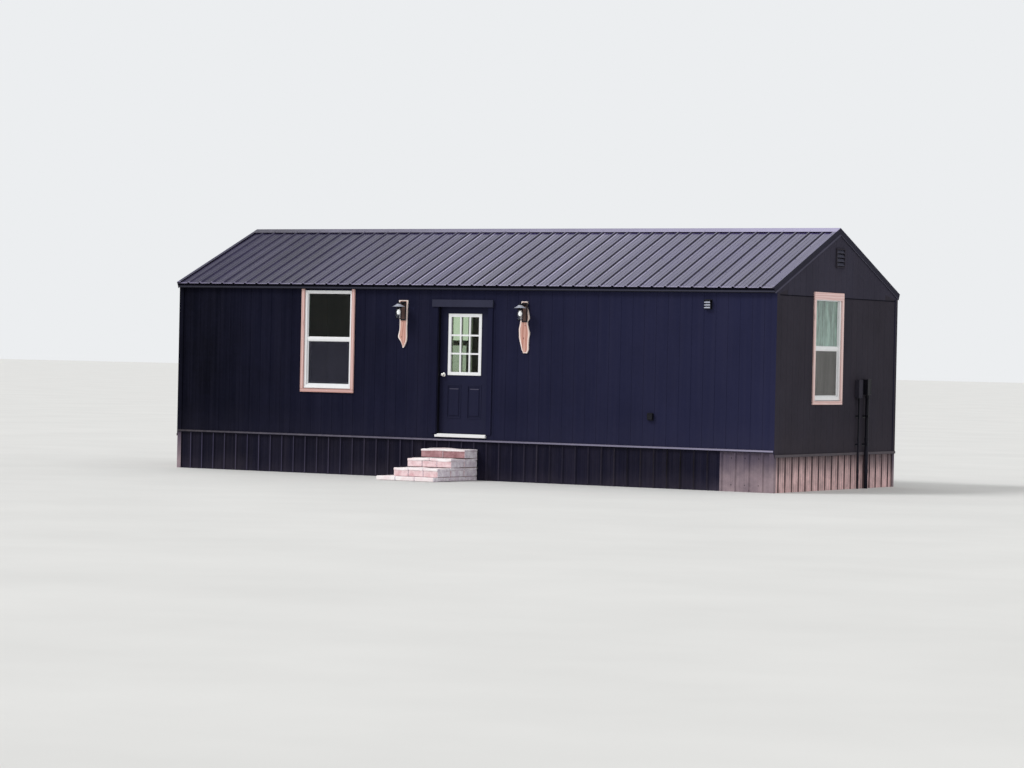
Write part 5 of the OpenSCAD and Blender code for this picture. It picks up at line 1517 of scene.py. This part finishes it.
def makeStepBase():
    s = steps
    x0, x1 = s["middle"] - s["wide"] / 2 - s["past"], s["middle"] + s["wide"] / 2
    y0, gap = s["back"] - 3 * s["tread"] - s["past"] / 2, s["slabGap"]
    wide, deep = (x1 - x0) / s["columns"], (s["back"] - y0) / s["rows"]
    parts = []
    for i in range(s["columns"]):
        for j in range(s["rows"]):
            a, c = x0 + i * wide, y0 + j * deep
            parts.append(paver("slab", (a + gap, c + gap, 0.001),
                               (a + wide - gap, c + deep - gap, s["base"] - 0.001), paverTop))
    fitted(joined("stepBase", parts), instead=["step_base"])


makeStepTier("stepTop", "top_step", 2, 1, 2, paverRose, steps["topCapTall"], roughness["topWorn"])
makeStepTier("stepMiddle", "middle_step", 1, 2, 3, paverFront, steps["capTall"])
makeStepTier("stepLower", "lower_step", 0, 3, 3, paverFront, steps["capTall"])
makeStepBase()
print("steps done")


# Floor, lamps and camera
stageValues = dict(floorSize=600, floorColour=(222, 222, 220), skyLight=0.74, skyShown=(236, 238, 240),
                   lampStrength=1.35, lampAngle=18, lampTurn=(46, 0, -42))


def setStage(values):
    bpy.ops.object.select_all(action="DESELECT")
    bpy.ops.mesh.primitive_plane_add(size=values["floorSize"], location=(0, 0, -0.001))
    ground = bpy.context.object
    ground.name = "studioFloor"
    material, tree, shader, place = startFinish("studioFloorPaint", 0.9, 0.1)
    mottled = remap(tree, cloud(tree, place, 0.4, 3), 0.3, 0.7, 0.97, 1.03)
    tree.links.new(scaled(tree, tone(*values["floorColour"]), mottled), shader.inputs["Base Color"])
    ground.data.materials.append(material)
    world = bpy.data.worlds.new("softSky")
    bpy.context.scene.world = world
    world.use_nodes = True
    tree = world.node_tree
    lit = tree.nodes["Background"]
    lit.inputs["Color"].default_value = (1.0, 1.0, 1.0, 1)
    lit.inputs["Strength"].default_value = values["skyLight"]
    shown = put(tree, "Background", {"Color": tone(*values["skyShown"]), "Strength": 1.0})
    rays = put(tree, "LightPath").outputs
    seen = maths(tree, "MAXIMUM", rays["Is Camera Ray"], rays["Is Transmission Ray"])
    seen = maths(tree, "MAXIMUM", seen, rays["Is Glossy Ray"])
    mixed = put(tree, "MixShader", {0: seen, 1: lit.outputs[0], 2: shown.outputs[0]})
    tree.links.new(mixed.outputs[0], tree.nodes["World Output"].inputs["Surface"])
    bpy.ops.object.light_add(type="SUN", location=(20, -20, 20))
    lamp = bpy.context.object
    lamp.name = "softLamp"
    lamp.data.energy = values["lampStrength"]
    lamp.data.angle = math.radians(values["lampAngle"])
    lamp.rotation_euler = [math.radians(v) for v in values["lampTurn"]]


cameraValues = dict(place=(27.431, -46.175, 1.975), turn=31.031, tilt=-0.507, roll=1.178, lens=116.37)


def setCamera(values):
    data = bpy.data.cameras.new("photoCamera")
    data.sensor_fit = "HORIZONTAL"
    data.sensor_width = 36
    data.lens = values["lens"]
    data.clip_end = 2000
    camera = bpy.data.objects.new("photoCamera", data)
    bpy.context.scene.collection.objects.link(camera)
    turn = Matrix.Rotation(math.radians(values["turn"]), 4, "Z")
    tilt = Matrix.Rotation(math.radians(90 + values["tilt"]), 4, "X")
    roll = Matrix.Rotation(math.radians(values["roll"]), 4, "Z")
    camera.matrix_world = Matrix.Translation(values["place"]) @ turn @ tilt @ roll
    bpy.context.scene.camera = camera


setStage(stageValues)
setCamera(cameraValues)
bpy.context.scene.view_settings.view_transform = "Standard"
print("stage and camera set")
